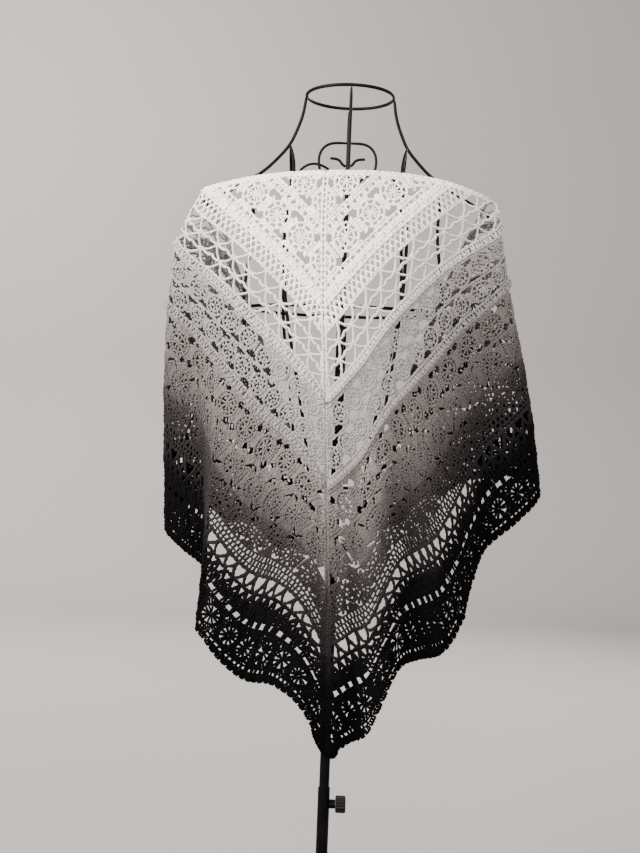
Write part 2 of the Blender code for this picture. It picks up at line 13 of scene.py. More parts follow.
import bmesh
import bpy
import numpy as np
from mathutils import Matrix, Vector


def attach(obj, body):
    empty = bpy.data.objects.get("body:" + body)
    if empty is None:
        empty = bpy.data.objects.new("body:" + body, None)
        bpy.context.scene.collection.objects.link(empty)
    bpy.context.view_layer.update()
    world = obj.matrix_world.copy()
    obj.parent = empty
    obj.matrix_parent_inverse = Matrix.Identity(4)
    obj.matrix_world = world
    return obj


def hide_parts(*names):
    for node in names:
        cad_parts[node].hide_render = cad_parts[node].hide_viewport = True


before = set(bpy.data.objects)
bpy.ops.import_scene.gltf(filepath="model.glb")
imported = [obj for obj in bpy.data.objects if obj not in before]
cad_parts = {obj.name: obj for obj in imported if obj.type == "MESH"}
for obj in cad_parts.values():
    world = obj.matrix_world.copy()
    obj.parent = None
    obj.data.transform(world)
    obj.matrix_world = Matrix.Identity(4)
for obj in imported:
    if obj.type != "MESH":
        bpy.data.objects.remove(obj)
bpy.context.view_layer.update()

LOG = logging.getLogger("shawl")

REACH = 0.862
ROWS = 24
LAST_ROW = REACH / math.sqrt(2)
ROW_STEP = LAST_ROW / ROWS
ROOT_HALF = math.sqrt(0.5)

Table = Sequence[Sequence[float]]
Colour = tuple[float, float, float, float]


class Side(Enum):
    """Half of the shawl, by the sign of its X."""

    LEFT = -1
    RIGHT = 1


class Stitch(Enum):
    """Part of the crochet that a batch of strands belongs to."""

    POST = "ground"
    CHAIN = "chains"


class Edge(IntEnum):
    """Columns of a side edge of the back, by drop below the shoulder."""

    OUT = 1
    AHEAD = 2


class Plan(IntEnum):
    """Columns of the plan of a hanging wing, by angle of the flat cloth round the shoulder."""

    BACK_EDGE = 1
    SPREAD = 2
    INWARD = 3
    FORWARD = 4
    FOLD_OUT = 5
    FOLD_AHEAD = 6


def smooth(t: np.ndarray) -> np.ndarray:
    """Rise from 0 to 1 with level ends."""
    t = np.clip(t, 0.0, 1.0)
    return t * t * (3.0 - 2.0 * t)


def read_table(table: Table, at: np.ndarray, column: int = 1) -> np.ndarray:
    """Read a smooth curve through one column of a table.

    Args:
        table: Rows whose first number rises.
        at: Places in the first column.
        column: Column that is read.

    Returns:
        The value at each place.
    """
    keys = np.array([row[0] for row in table], dtype=float)
    values = np.array([row[column] for row in table], dtype=float)
    slopes = np.gradient(values, keys)
    at = np.clip(at, keys[0], keys[-1])
    cell = np.clip(np.searchsorted(keys, at, side="right") - 1, 0, len(keys) - 2)
    width = keys[cell + 1] - keys[cell]
    t = (at - keys[cell]) / width
    start = (1.0 + 2.0 * t) * (1.0 - t) ** 2 * values[cell] + t * (1.0 - t) ** 2 * width * slopes[cell]
    end = t * t * (3.0 - 2.0 * t) * values[cell + 1] + t * t * (t - 1.0) * width * slopes[cell + 1]
    return start + end


@dataclass(frozen=True)
class Drape:
    """How the flat shawl hangs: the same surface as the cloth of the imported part.

    Pairs give the left half first.

    Attributes:
        tip_out: Distance of a shoulder from the middle.
        tip_y: Place of the shoulders from front to back.
        tip_z: Height of the shoulders.
        tip_flat: Where the top edge passes over the shoulders, along it from the spine.
        back_edge: Drop, outward and forward offsets of the side edges of the back.
        side_spread: Full spread of the outermost line of each side.
        side_growth: Drop and share of that spread.
        side_rate: How much sooner the spread grows than the drop does.
        plan: Plan of a wing 0.5 m below the shoulder, with the columns of Plan after the angle.
        plan_drop: Drop at which the plan holds.
        forward_straight: Share of the way ahead that grows evenly with the drop.
        forward_early: Run in which the rest of it is reached.
        fold_start: Run at which the folds of a wing begin.
        fold_run: Further run in which they are full.
        slant_limit: Most of the drop that sideways travel takes.
        slant_rate: How fast sideways travel takes it.
        back_stretch: Place across and how much longer the cloth hangs than it lies flat.
        sleeve_stretch: Extra length at the side of each wing.
        stretch_from: Length from which the cloth is stretched in full.
        back_bulge: Drop and how far the back stands out.
        spine_sway: Sideways travel of the spine down to the tip of the hem.
        crown_height: Rise of the top edge between the shoulders.
        crown_tilt: How much more it rises on the right.
        crown_depth: Drop at which the rise has died out.
        flute_start: Drop at which the flutes begin.
        flute_run: Further drop in which they are full.
        flute_margin: How soon the flutes are full beside a shoulder.
        flutes: Place across, depth and half width of each upright flute.
        probe: Half of the step that finds the slope of the cloth.
    """

    tip_out: float = 0.225
    tip_y: float = -0.005
    tip_z: float = 1.332
    tip_flat: tuple[float, float] = (0.193, 0.262)
    back_edge: tuple[Table, Table] = (
        ((0.00, 0.000, 0.000), (0.05, 0.003, -0.012), (0.15, -0.016, -0.032), (0.28, -0.034, -0.046),
         (0.50, -0.028, -0.050), (0.70, -0.014, -0.050)),
        ((0.00, 0.000, 0.000), (0.05, -0.002, -0.012), (0.15, -0.030, -0.032), (0.30, -0.048, -0.046),
         (0.45, -0.038, -0.050), (0.63, -0.016, -0.050)))
    side_spread: tuple[float, float] = (0.050, 0.105)
    side_growth: tuple[Table, Table] = (
        ((0.00, 0.00), (0.04, 0.36), (0.10, 0.78), (0.15, 0.97), (0.22, 1.08), (0.38, 1.10),
         (0.49, 1.00), (0.60, 0.92)),
        ((0.00, 0.00), (0.02, 0.14), (0.06, 0.21), (0.12, 0.29), (0.22, 0.46), (0.32, 0.68),
         (0.42, 0.87), (0.50, 1.00), (0.60, 1.08)))
    side_rate: float = 1.15
    plan: Table = (
        (0, 1.00, 0.00, 0.000, 0.000, 0.000, 0.000), (7, 0.66, 0.34, 0.000, 0.004, -0.020, 0.018),
        (13, 0.34, 0.58, 0.000, 0.010, -0.036, 0.014), (20, 0.10, 0.80, 0.000, 0.022, -0.018, 0.000),
        (27, 0.00, 0.96, 0.000, 0.040, 0.000, -0.004), (35, 0.00, 1.00, 0.000, 0.068, 0.000, 0.000),
        (43, 0.00, 0.86, 0.000, 0.102, 0.000, 0.000), (50, 0.00, 0.50, -0.002, 0.131, 0.000, 0.000),
        (57, 0.00, 0.14, -0.018, 0.146, 0.000, 0.002), (64, 0.00, 0.00, -0.046, 0.152, 0.000, -0.022),
        (71, 0.00, 0.00, -0.080, 0.155, 0.000, 0.010), (78, 0.00, 0.00, -0.112, 0.156, 0.000, -0.026),
        (84, 0.00, 0.00, -0.144, 0.154, 0.000, 0.008), (90, 0.00, 0.00, -0.178, 0.150, 0.000, -0.004))
    plan_drop: float = 0.5
    forward_straight: float = 0.65
    forward_early: float = 0.10
    fold_start: float = 0.05
    fold_run: float = 0.22
    slant_limit: float = 0.6
    slant_rate: float = 0.8
    back_stretch: Table = (
        (-0.193, 1.035), (-0.120, 1.028), (-0.075, 0.974), (-0.036, 0.962), (0.000, 1.000),
        (0.040, 1.030), (0.070, 1.050), (0.098, 1.010), (0.120, 0.992), (0.160, 1.026),
        (0.215, 1.088), (0.262, 1.100))
    sleeve_stretch: tuple[float, float] = (0.125, 0.056)
    stretch_from: float = 0.55
    back_bulge: Table = ((0.00, 0.082), (0.12, 0.074), (0.30, 0.062), (0.87, 0.060))
    spine_sway: float = 0.031
    crown_height: float = 0.018
    crown_tilt: float = 0.006
    crown_depth: float = 0.30
    flute_start: float = 0.22
    flute_run: float = 0.50
    flute_margin: float = 4.0
    flutes: Table = (
        (-0.172, 0.012, 0.030), (-0.105, -0.014, 0.034), (-0.040, 0.012, 0.030), (0.052, -0.020, 0.026),
        (0.098, 0.014, 0.024), (0.150, -0.012, 0.028), (0.210, 0.012, 0.030))
    probe: float = 0.006

    @staticmethod
    def pick(pair: tuple, side: int) -> object:
        """Take the left or right entry of a pair."""
        return pair[0] if side < 0 else pair[1]

    def hang(self, length: np.ndarray, stretch: np.ndarray | float) -> np.ndarray:
        """Hanging length of a flat length: short ones keep it, long ones are stretched."""
        return length * (1.0 + (stretch - 1.0) * smooth(length / self.stretch_from))

    def back(self, across: np.ndarray, down: np.ndarray) -> np.ndarray:
        """Hang flat points between the two shoulders.

        Args:
            across: Distance from the spine, positive to the right.
            down: Distance from the top edge.

        Returns:
            The hanging positions.
        """
        share = (across + self.tip_flat[0]) / (self.tip_flat[0] + self.tip_flat[1])
        lean = 2.0 * share - 1.0
        middle = 1.0 - lean ** 2
        left_edge, right_edge = self.back_edge
        left_x = -self.tip_out - read_table(left_edge, down, Edge.OUT)
        right_x = self.tip_out + read_table(right_edge, down, Edge.OUT)
        left_y = read_table(left_edge, down, Edge.AHEAD)
        right_y = read_table(right_edge, down, Edge.AHEAD)
        x = left_x + (right_x - left_x) * share + self.spine_sway * middle * down / REACH
        y = self.tip_y + left_y + (right_y - left_y) * share - read_table(self.back_bulge, down) * middle
        swell = smooth((down - self.flute_start) / self.flute_run) * smooth(middle * self.flute_margin)
        for place, depth, half_width in self.flutes:
            y = y - depth * swell * np.exp(-((across - place) / half_width) ** 2)
        crown = self.crown_height * (1.0 - np.abs(lean) ** 3) + self.crown_tilt * middle * lean
        stretch = read_table(self.back_stretch, across)
        z = self.tip_z + crown * smooth(1.0 - down / self.crown_depth) - self.hang(down, stretch)
        return np.stack([x, y, z], axis=-1)

    def wing(self, side: int, beyond: np.ndarray, down: np.ndarray) -> np.ndarray:
        """Hang flat points past a shoulder, where the cloth falls round the tip.

        Args:
            side: Sign of X of the shoulder.
            beyond: Distance past the shoulder along the top edge.
            down: Distance from the top edge.

        Returns:
            The hanging positions.
        """
        edge = self.pick(self.back_edge, side)
        run = np.hypot(beyond, down)
        angle = np.degrees(np.arctan2(beyond, down))
        edge_out = read_table(edge, run, Edge.OUT)
        edge_y = read_table(edge, run, Edge.AHEAD)
        drop_share = run / self.plan_drop
        growth = read_table(self.pick(self.side_growth, side), run * self.side_rate)
        spread = self.pick(self.side_spread, side) * growth
        early = 1.0 - np.exp(-run / self.forward_early)
        forward = self.forward_straight * drop_share + (1.0 - self.forward_straight) * early
        fold = drop_share * smooth((run - self.fold_start) / self.fold_run)
        plan = {column: read_table(self.plan, angle, column) for column in Plan}
        out = plan[Plan.BACK_EDGE] * edge_out + plan[Plan.SPREAD] * spread
        out = out + plan[Plan.INWARD] * drop_share + plan[Plan.FOLD_OUT] * fold
        ahead = plan[Plan.BACK_EDGE] * edge_y + plan[Plan.FORWARD] * forward + plan[Plan.FOLD_AHEAD] * fold
        sideways = np.hypot(out - edge_out, ahead - edge_y) / np.maximum(run, 1e-6)
        slant = self.slant_limit * np.tanh(self.slant_rate / self.slant_limit * sideways ** 2)
        stretch = read_table(self.back_stretch, side * self.pick(self.tip_flat, side))
        stretch = stretch + self.pick(self.sleeve_stretch, side) * np.sin(np.radians(2.0 * angle))
        drop = self.hang(run, stretch) * np.sqrt(1.0 - slant)
        return np.stack([side * (self.tip_out + out), self.tip_y + ahead, self.tip_z - drop], axis=-1)

    def place(self, across: np.ndarray, down: np.ndarray) -> np.ndarray:
        """Hang flat points.

        Args:
            across: Distance from the spine, positive to the right.
            down: Distance from the top edge.

        Returns:
            The hanging positions.
        """
        left = self.wing(-1, np.maximum(-across - self.tip_flat[0], 0.0), down)
        right = self.wing(1, np.maximum(across - self.tip_flat[1], 0.0), down)
        back = self.back(np.clip(across, -self.tip_flat[0], self.tip_flat[1]), down)
        past_left = (across < -self.tip_flat[0])[..., None]
        past_right = (across > self.tip_flat[1])[..., None]
        return np.where(past_left, left, np.where(past_right, right, back))

    def lay(self, side: Side, row: np.ndarray, along: np.ndarray) -> tuple[np.ndarray, np.ndarray]:
        """Hang flat points of one half.

        Args:
            side: Half of the shawl.
            row: Row of each point.
            along: Place along its row.

        Returns:
            The positions, and the unit normals that point away from the form.
        """
        across = side.value * np.maximum(row + along, 0.0) * ROOT_HALF
        down = np.maximum(row - along, 0.0) * ROOT_HALF
        tangent = self.place(across + self.probe, down) - self.place(across - self.probe, down)
        above = self.place(across, np.maximum(down - self.probe, 0.0))
        fall = self.place(across, down + self.probe) - above
        normal = -np.cross(tangent, fall)
        return self.place(across, down), normal / np.linalg.norm(normal, axis=-1, keepdims=True)


@dataclass
class Strands:
    """A batch of yarn strands that all have the same number of rings.

    Attributes:
        row: Row of each ring, strands by rings.
        along: Place of each ring along its row.
        lift: Height of each ring over the cloth's middle.
        wide: Half width of each ring in the cloth.
        deep: Half thickness of each ring square to the cloth.
        stitch: Part of the crochet.
    """

    row: np.ndarray
    along: np.ndarray
    lift: np.ndarray
    wide: np.ndarray
    deep: np.ndarray
    stitch: Stitch

    def chosen(self, keep: np.ndarray) -> "Strands":
        """Only the strands for which keep is true."""
        parts = [part[keep] for part in (self.row, self.along, self.lift, self.wide, self.deep)]
        return Strands(*parts, self.stitch)

    def fitted(self, spine: Callable[[np.ndarray], np.ndarray], edge: float) -> "Strands":
        """Drop the strands outside one half, and hold the rest inside its spine and top edge.

        Args:
            spine: Gives by row the distance that is kept from the spine, along the row.
            edge: Distance that is kept from the top edge, along a row.

        Returns:
            The fitted batch.
        """
        middle_row = self.row.mean(axis=1)
        middle = self.along.mean(axis=1)
        inside = (middle > -middle_row + spine(middle_row)) & (middle < middle_row - edge)
        kept = self.chosen(inside & (middle_row > 0.0))
        start = -kept.row + spine(kept.row)
        kept.along = np.clip(kept.along, start, np.maximum(kept.row - edge, start))
        return kept


@dataclass(frozen=True)
class RowLines:
    """Rows where the rounds of the pattern start and end, from the neck to the hem."""

    neck: float = 0.0040
    small_wheels: float = 0.0125
    wheel_rib: float = 0.0565
    small_windows: float = 0.0620
    large_wheels: float = 0.0705
    rib_windows: float = 0.1205
    yoke_rib: float = 0.1275
    fishnet: float = 0.1424
    large_net: float = 0.1680
    first_ridge: float = 0.2294
    first_rosettes: float = 0.2453
    second_rosettes: float = 0.28295
    second_ridge: float = 0.3206
    open_flowers: float = 0.3355
    close_flowers: float = 0.38475
    dark_flowers: float = 0.4340
    small_mesh: float = 0.4740
    dark_net: float = 0.4959
    dark_net_end: float = 0.5165
    dark_fishnet: float = 0.5170
    dark_fishnet_end: float = 0.5300
    dark_rows: float = 0.5285
    wide_windows: float = 0.5450
    wide_windows_end: float = 0.5540
    hem_rib: float = 0.5545
    daisies: float = 0.5580
    hem_windows: float = 0.5956
    scallops: float = 0.6008
    scallops_end: float = 0.6060
    corner_fan: float = 0.5954
    past_hem: float = LAST_ROW + 0.003


@dataclass(frozen=True)
class Handwork:
    """How far stitches made by hand stray from their places, in metres, and differ in size."""

    place: float = 0.0009
    post_stray: float = 0.00030
    post_rise: float = 0.00028
    post_size: tuple[float, float] = (0.86, 1.06)
    arc_stray: float = 0.00022
    arc_rise: float = 0.00020
    arc_size: tuple[float, float] = (0.92, 1.08)
    link_stray: float = 0.00018
    link_rise: float = 0.00015


@dataclass(frozen=True)
class Yarn:
    """Half sizes of the yarn in a post and in a chain, and how they change along a stitch."""

    pitch: float = 0.0043
    post_wide: float = 0.00255
    post_deep: float = 0.0014
    chain: float = 0.00145
    post_marks: tuple[float, ...] = (-0.04, 0.30, 0.70, 1.04)
    post_width_shape: tuple[float, ...] = (0.55, 0.92, 1.0, 0.62)
    post_depth_shape: tuple[float, ...] = (0.60, 1.05, 1.0, 0.70)
    arc_waist: float = 0.82
    arc_swell: float = 1.12
    arc_end: float = 0.75
    link_shape: tuple[float, ...] = (0.80, 1.10, 1.10, 0.80)
    link_pitches: float = 2.0
    shortest_chain: float = 0.002


@dataclass
class Lace:
    """Pattern of one half of the shawl, written as yarn strands on the flat triangle.

    Attributes:
        seed: Start of the generator of the unevenness.
        lines: Rows of the pattern.
        hand: Unevenness of the stitches.
        yarn: Sizes of the yarn.
        small_wheel: Side of a wheel of the first row.
        large_wheel: Side of a wheel of the second row.
        rosette: Side of a rosette.
        flower: Side of a flower.
        dark_flower: Side of a flower of the last row of them.
        daisy: Side of a daisy of the hem.
        mesh_height: Height of a row of the small mesh.
        top_edge: Distance of the motifs from the top edge, along a row.
        fan_reach: Radius of the fan at the corner of the hem.
        batches: The strands so far.
    """

    seed: int
    lines: RowLines = RowLines()
    hand: Handwork = Handwork()
    yarn: Yarn = Yarn()
    small_wheel: float = 0.0440
    large_wheel: float = 0.0500
    rosette: float = 0.03765
    flower: float = 0.04925
    dark_flower: float = 0.0400
    daisy: float = 0.0376
    mesh_height: float = 0.0073
    top_edge: float = 0.0080
    fan_reach: float = 0.0205
    batches: list[Strands] = field(default_factory=list)

    def __post_init__(self) -> None:
        """Start the generator of the small unevenness of handwork."""
        self.random = np.random.default_rng(self.seed)

    @staticmethod
    def points(row: np.ndarray | float, along: np.ndarray | float) -> np.ndarray:
        """Flat points from their rows and their places along them."""
        return np.stack(np.broadcast_arrays(row, along), axis=-1)

    def posts(self, foot: np.ndarray, head: np.ndarray, thick: float = 1.0, lift: float = 0.0,
              bow: float = 0.0) -> None:
        """Add upright stitches, each from a foot to a head.

        Args:
            foot: Row and place along of each foot.
            head: Row and place along of each head.
            thick: Factor on the yarn's size.
            lift: Height over the cloth.
            bow: Extra height in the middle of each post.
        """
        foot = np.atleast_2d(foot)
        head = np.atleast_2d(head)
        marks = np.array(self.yarn.post_marks)
        count = len(foot)
        points = foot[:, None, :] + (head - foot)[:, None, :] * marks[None, :, None]
        points[:, 1:-1, :] += self.random.normal(0.0, self.hand.post_stray, (count, len(marks) - 2, 2))
        bowed = bow * np.sin(np.pi * np.clip(marks, 0, 1))[None, :]
        rise = lift + bowed + self.random.normal(0.0, self.hand.post_rise, (count, len(marks)))
        size = thick * self.random.uniform(*self.hand.post_size, (count, 1))
        wide = self.yarn.post_wide * size * np.array(self.yarn.post_width_shape)[None, :]
        deep = self.yarn.post_deep * size * np.array(self.yarn.post_depth_shape)[None, :]
        self.batches.append(Strands(points[:, :, 0], points[:, :, 1], rise, wide, deep, Stitch.POST))

    def arcs(self, start: np.ndarray, end: np.ndarray, sag: float, rings: int = 5, thick: float = 1.0,
             lift: float = 0.0, stitch: Stitch = Stitch.CHAIN) -> None:
        """Add chain arcs between pairs of points, bowed square to the line between them.

        Args:
            start: Row and place along of each start.
            end: Row and place along of each end.
            sag: Height of the bow, towards the higher rows where it is positive.
            rings: Rings of each arc.
            thick: Factor on the yarn's size.
            lift: Height over the cloth.
            stitch: Part of the crochet.
        """
        start = np.atleast_2d(start)
        end = np.atleast_2d(end)
        count = len(start)
        steps = np.linspace(0.0, 1.0, rings)
        run = end - start
        points = start[:, None, :] + run[:, None, :] * steps[None, :, None]
        length = np.maximum(np.linalg.norm(run, axis=1), 1e-9)
        square = np.stack([run[:, 1], -run[:, 0]], axis=-1) / length[:, None]
        points = points + square[:, None, :] * (sag * 4.0 * steps * (1.0 - steps))[None, :, None]
        points[:, 1:-1, :] += self.random.normal(0.0, self.hand.arc_stray, (count, rings - 2, 2))
        pulse = np.where(np.arange(rings) % 2 == 0, self.yarn.arc_waist, self.yarn.arc_swell)
        pulse[[0, -1]] = self.yarn.arc_end
        deep = self.yarn.chain * thick * pulse[None, :] * np.ones((count, 1))
        wide = deep * self.random.uniform(*self.hand.arc_size, (count, 1))
        rise = lift + self.random.normal(0.0, self.hand.arc_rise, (count, rings))
        self.batches.append(Strands(points[:, :, 0], points[:, :, 1], rise, wide, deep, stitch))

    def chain(self, route: np.ndarray, thick: float = 1.0, lift: float = 0.0) -> None:
        """Add one chain along a route, as links that overlap at their ends.

        Args:
            route: Row and place along of the points of the route.
            thick: Factor on the yarn's size.
            lift: Height over the cloth.
        """
        lengths = np.concatenate([[0.0], np.cumsum(np.linalg.norm(np.diff(route, axis=0), axis=1))])
        if lengths[-1] < self.yarn.shortest_chain:
            return
        steps = len(self.yarn.link_shape) - 1
        links = max(1, round(lengths[-1] / (self.yarn.pitch * self.yarn.link_pitches)))
        marks = np.linspace(0.0, lengths[-1], links * steps + 1)
        row = np.interp(marks, lengths, route[:, 0])
        along = np.interp(marks, lengths, route[:, 1])
        index = np.arange(links)[:, None] * steps + np.arange(steps + 1)[None, :]
        rows = row[index] + self.random.normal(0.0, self.hand.link_stray, index.shape)
        places = along[index] + self.random.normal(0.0, self.hand.link_stray, index.shape)
        rise = lift + self.random.normal(0.0, self.hand.link_rise, index.shape)
        size = self.yarn.chain * thick * np.array(self.yarn.link_shape)[None, :] * np.ones((links, 1))
        self.batches.append(Strands(rows, places, rise, size, size, Stitch.CHAIN))

    def row_chain(self, row: float, thick: float = 1.0, lift: float = 0.0) -> None:
        """Add a chain along a whole row, from the spine to the top edge."""
        self.chain(np.array([[row, -row], [row, row]]), thick, lift)

    def row_of_posts(self, low: float, high: float, keep: Callable[[np.ndarray], np.ndarray] | None = None,
                     pitch: float | None = None, thick: float = 1.0, lift: float = 0.0,
                     bow: float = 0.0) -> None:
        """Add one row of upright stitches with a chain along its top.

        Args:
            low: Row of the feet.
            high: Row of the heads.
            keep: Tells by place along which posts are made; all where it is left out.
            pitch: Distance between posts.
            thick: Factor on the yarn's size.
            lift: Height over the cloth.
            bow: Extra height in the middle of the posts.
        """
        step = pitch or self.yarn.pitch
        count = int(high / step)
        stagger = 0.5 * (round(low / 0.001) % 2)
        along = (np.arange(-count, count + 1) + stagger) * step
        if keep is not None:
            along = along[keep(along)]
        lean = self.random.normal(0.0, self.hand.place, len(along))
        self.posts(self.points(low, along), self.points(high, along + lean), thick, lift, bow)
        self.row_chain(high, max(1.0, thick * 0.95), lift + 0.0006)

    def solid(self, low: float, high: float, rows: int, lift: float = 0.0, pitch: float | None = None,
              thick: float = 1.0) -> None:
        """Add plain rows of stitches between two rows."""
        marks = np.linspace(low, high, rows + 1)
        for start, end in zip(marks, marks[1:]):
            self.row_of_posts(start, end, pitch=pitch, thick=thick, lift=lift)

    def windows(self, low: float, high: float, every: float, opening: float) -> None:
        """Add a row with regular openings, each bridged by the chain on top.

        Args:
            low: Row of the feet.
            high: Row of the heads.
            every: Distance between openings.
            opening: Width of each opening.
        """
        def beside(along: np.ndarray) -> np.ndarray:
            """Tell which places lie beside the openings."""
            turns = along / every
            return np.abs(turns - np.round(turns)) * every > opening / 2.0

        self.row_of_posts(low, high, beside)

    def scallops(self, low: float, high: float, depth: float, width: float, stitches: int) -> None:
        """Add the last row, whose heads stand out in rounded tongues edged with small chain bows.

        Args:
            low: Row of the feet.
            high: Row of the heads where two tongues meet.
            depth: How far the middle of a tongue stands out.
            width: Distance between tongues.
            stitches: Posts in each tongue.
        """
        fullness = 1.45
        count = int(high / width) + 1
        centres = (np.arange(-count, count + 1) + 0.5) * width
        share = (np.arange(stitches) + 0.5) / stitches * 2.0 - 1.0
        rise = high + depth * np.sqrt(1.0 - share ** 2 * 0.96)
        along = centres[:, None] + share * width * 0.50
        head = self.points(rise, along)
        thick = width / stitches / 2.0 / self.yarn.post_wide * fullness
        self.posts(self.points(low, along).reshape(-1, 2), head.reshape(-1, 2), thick)
        self.arcs(head[:, :-1].reshape(-1, 2), head[:, 1:].reshape(-1, 2), 0.0006, 3, 1.5, 0.0002)

    def fishnet(self, low: float, high: float, rows: int, cell: float, thick: float = 1.0) -> None:
        """Add rows of round chain arcs, each row hung from the middles of the one before.

        Args:
            low: First row.
            high: Last row.
            rows: Rows of arcs.
            cell: Width of an arc.
            thick: Factor on the yarn's size.
        """
        marks = np.linspace(low, high, rows + 1)
        for number, (start, end) in enumerate(zip(marks, marks[1:])):
            count = int(end / cell) + 1
            knots = (np.arange(-count, count + 1) + 0.5 * (number % 2)) * cell
            left = self.points(start, knots - cell * 0.5)
            right = self.points(start, knots + cell * 0.5)
            self.arcs(left, right, end - start, 7, thick)

    def ring(self, centres: np.ndarray, radius: float, thick: float = 1.0, lift: float = 0.0) -> None:
        """Add a round chain about each centre."""
        parts = max(6, round(math.tau * radius / self.yarn.pitch))
        turns = math.tau * np.arange(parts + 1) / parts
        rim = radius * np.stack([np.cos(turns), np.sin(turns)], axis=-1)
        for start, end in zip(rim, rim[1:]):
            self.arcs(centres + start, centres + end, 0.0, 3, thick, lift)

    def rays(self, centres: np.ndarray, inner: float, outer: float, count: int, thick: float = 1.0,
             turn: float = 0.0) -> None:
        """Add straight stitches out from each centre.

        Args:
            centres: Row and place along of each centre.
            inner: Radius of the feet.
            outer: Radius of the heads.
            count: Stitches in the whole turn.
            thick: Factor on the yarn's size.
            turn: Angle of the first one, in turns of one gap.
        """
        for ray in range(count):
            lean = self.random.normal(0.0, self.hand.place / outer, len(centres))
            angle = math.tau * (ray + turn) / count + lean
            direction = np.stack([np.cos(angle), np.sin(angle)], axis=-1)
            self.posts(centres + inner * direction, centres + outer * direction, thick)

    def corners(self, centres: np.ndarray, radius: float, half: float, skip: int = 1) -> None:
        """Fill from a circle to the square tile about each centre, with small gaps in its corners.

        Args:
            centres: Row and place along of each centre.
            radius: Radius of the circle.
            half: Half width of the tile.
            skip: Posts left out at each corner, on each side of it.
        """
        crowding = 0.92
        farthest = 1.30
        longest = 0.010
        quarter = max(4, round(half * 2.0 / self.yarn.pitch * crowding))
        count = 4 * quarter
        for post in range(count):
            near = (post + quarter // 2) % quarter
            if min(near, quarter - near) < skip:
                continue
            angle = math.tau * post / count
            direction = np.array([math.cos(angle), math.sin(angle)])
            reach = min(half / max(abs(direction[0]), abs(direction[1])), half * farthest)
            foot = centres + radius * direction
            head = centres + reach * direction
            if reach - radius > longest:
                middle = centres + (radius + (reach - radius) * 0.5) * direction
                self.posts(foot, middle)
                self.posts(middle, head, 1.1)
            else:
                self.posts(foot, head)

    def tiles(self, row: float, size: float, shift: float = 0.0) -> np.ndarray:
        """Centres of the square motifs of one row, the first of them on the spine."""
        count = int(2.0 * row / size) + 2
        places = self.points(row, -row + (np.arange(0, count) + shift) * size)
        return places + self.random.normal(0.0, self.hand.place, places.shape)

    def wheels(self, low: float, size: float, petals: int) -> None:
        """Add a row of sunburst motifs: petal openings about a hub, and a ring of wider ones round them.

        Args:
            low: Lower row of the motifs.
            size: Side of each motif.
            petals: Openings round the hub.
        """
        hub, petal_end, collar, spoke_start, spoke_end, rim = (
            share * (size / 51.0) for share in (2.6, 12.4, 13.2, 13.4, 20.2, 20.8))
        centres = self.tiles(low + size / 2.0, size)
        self.ring(centres, hub, 1.6)
        self.rays(centres, hub, petal_end, petals, 0.62)
        self.ring(centres, collar, 1.35, 0.0006)
        self.rays(centres, spoke_start, spoke_end, 9, 1.20)
        self.ring(centres, rim, 1.5, 0.0006)
        self.corners(centres, rim, size / 2.0, 2)
        for edge in (low, low + size):
            self.row_chain(edge, 1.25, 0.0005)

    def rosettes(self, low: float, shift: float) -> None:
        """Add a row of ringed flowers with narrow slits.

        Args:
            low: Lower row of the motifs.
            shift: Place of the first motif, as a share of its side.
        """
        heart, petal_end, collar, slit_end, rim = 0.0018, 0.0082, 0.0088, 0.0146, 0.0152
        centres = self.tiles(low + self.rosette / 2.0, self.rosette, shift)
        self.rays(centres, heart, petal_end, 5, 0.80)
        self.ring(centres, collar, 1.25, 0.0010)
        self.rays(centres, collar, slit_end, 10, 0.80, 0.5)
        self.ring(centres, rim, 1.3, 0.0010)
        self.corners(centres, rim, self.rosette / 2.0, 2)
        self.row_chain(low + self.rosette, 1.1, 0.0004)

    def daisies(self, low: float, slits: int) -> None:
        """Add a row of close flowers whose only openings are long slits about the middle.

        Args:
            low: Lower row of the motifs.
            slits: Openings round each middle.
        """
        size = self.daisy
        heart, heart_end, slit_start, slit_end, rim = 0.0006, 0.0036, 0.0034, 0.0140, 0.0146
        centres = self.tiles(low + size / 2.0, size, 0.5)
        self.rays(centres, heart, heart_end, 6)
        self.rays(centres, slit_start, slit_end, slits, 0.98)
        self.ring(centres, rim, 1.5, 0.0004)
        self.corners(centres, rim, size / 2.0, 0)
        edges = centres[:, 1] + size / 2.0
        self.posts(self.points(low, edges), self.points(low + size, edges), 0.9)
        self.row_chain(low + size, 1.4, 0.0004)

    def open_flowers(self, low: float, shift: float) -> None:
        """Add a row of flowers with petal openings and thin spokes round them.

        Args:
            low: Lower row of the motifs.
            shift: Place of the first motif, as a share of its side.
        """
        size = self.flower
        hub, petal_end, collar, spoke_end, rim = 0.0030, 0.0124, 0.0130, 0.0180, 0.0186
        centres = self.tiles(low + size / 2.0, size, shift)
        self.ring(centres, hub, 1.5)
        self.rays(centres, hub, petal_end, 8, 0.80, 0.5)
        self.ring(centres, collar, 1.3, 0.0006)
        self.rays(centres, collar, spoke_end, 15, 0.90, 0.5)
        self.ring(centres, rim, 1.4, 0.0008)
        self.corners(centres, rim, size / 2.0, 2)
        self.corner_knots(low, size, shift)
        self.row_chain(low + size, 1.2, 0.0004)

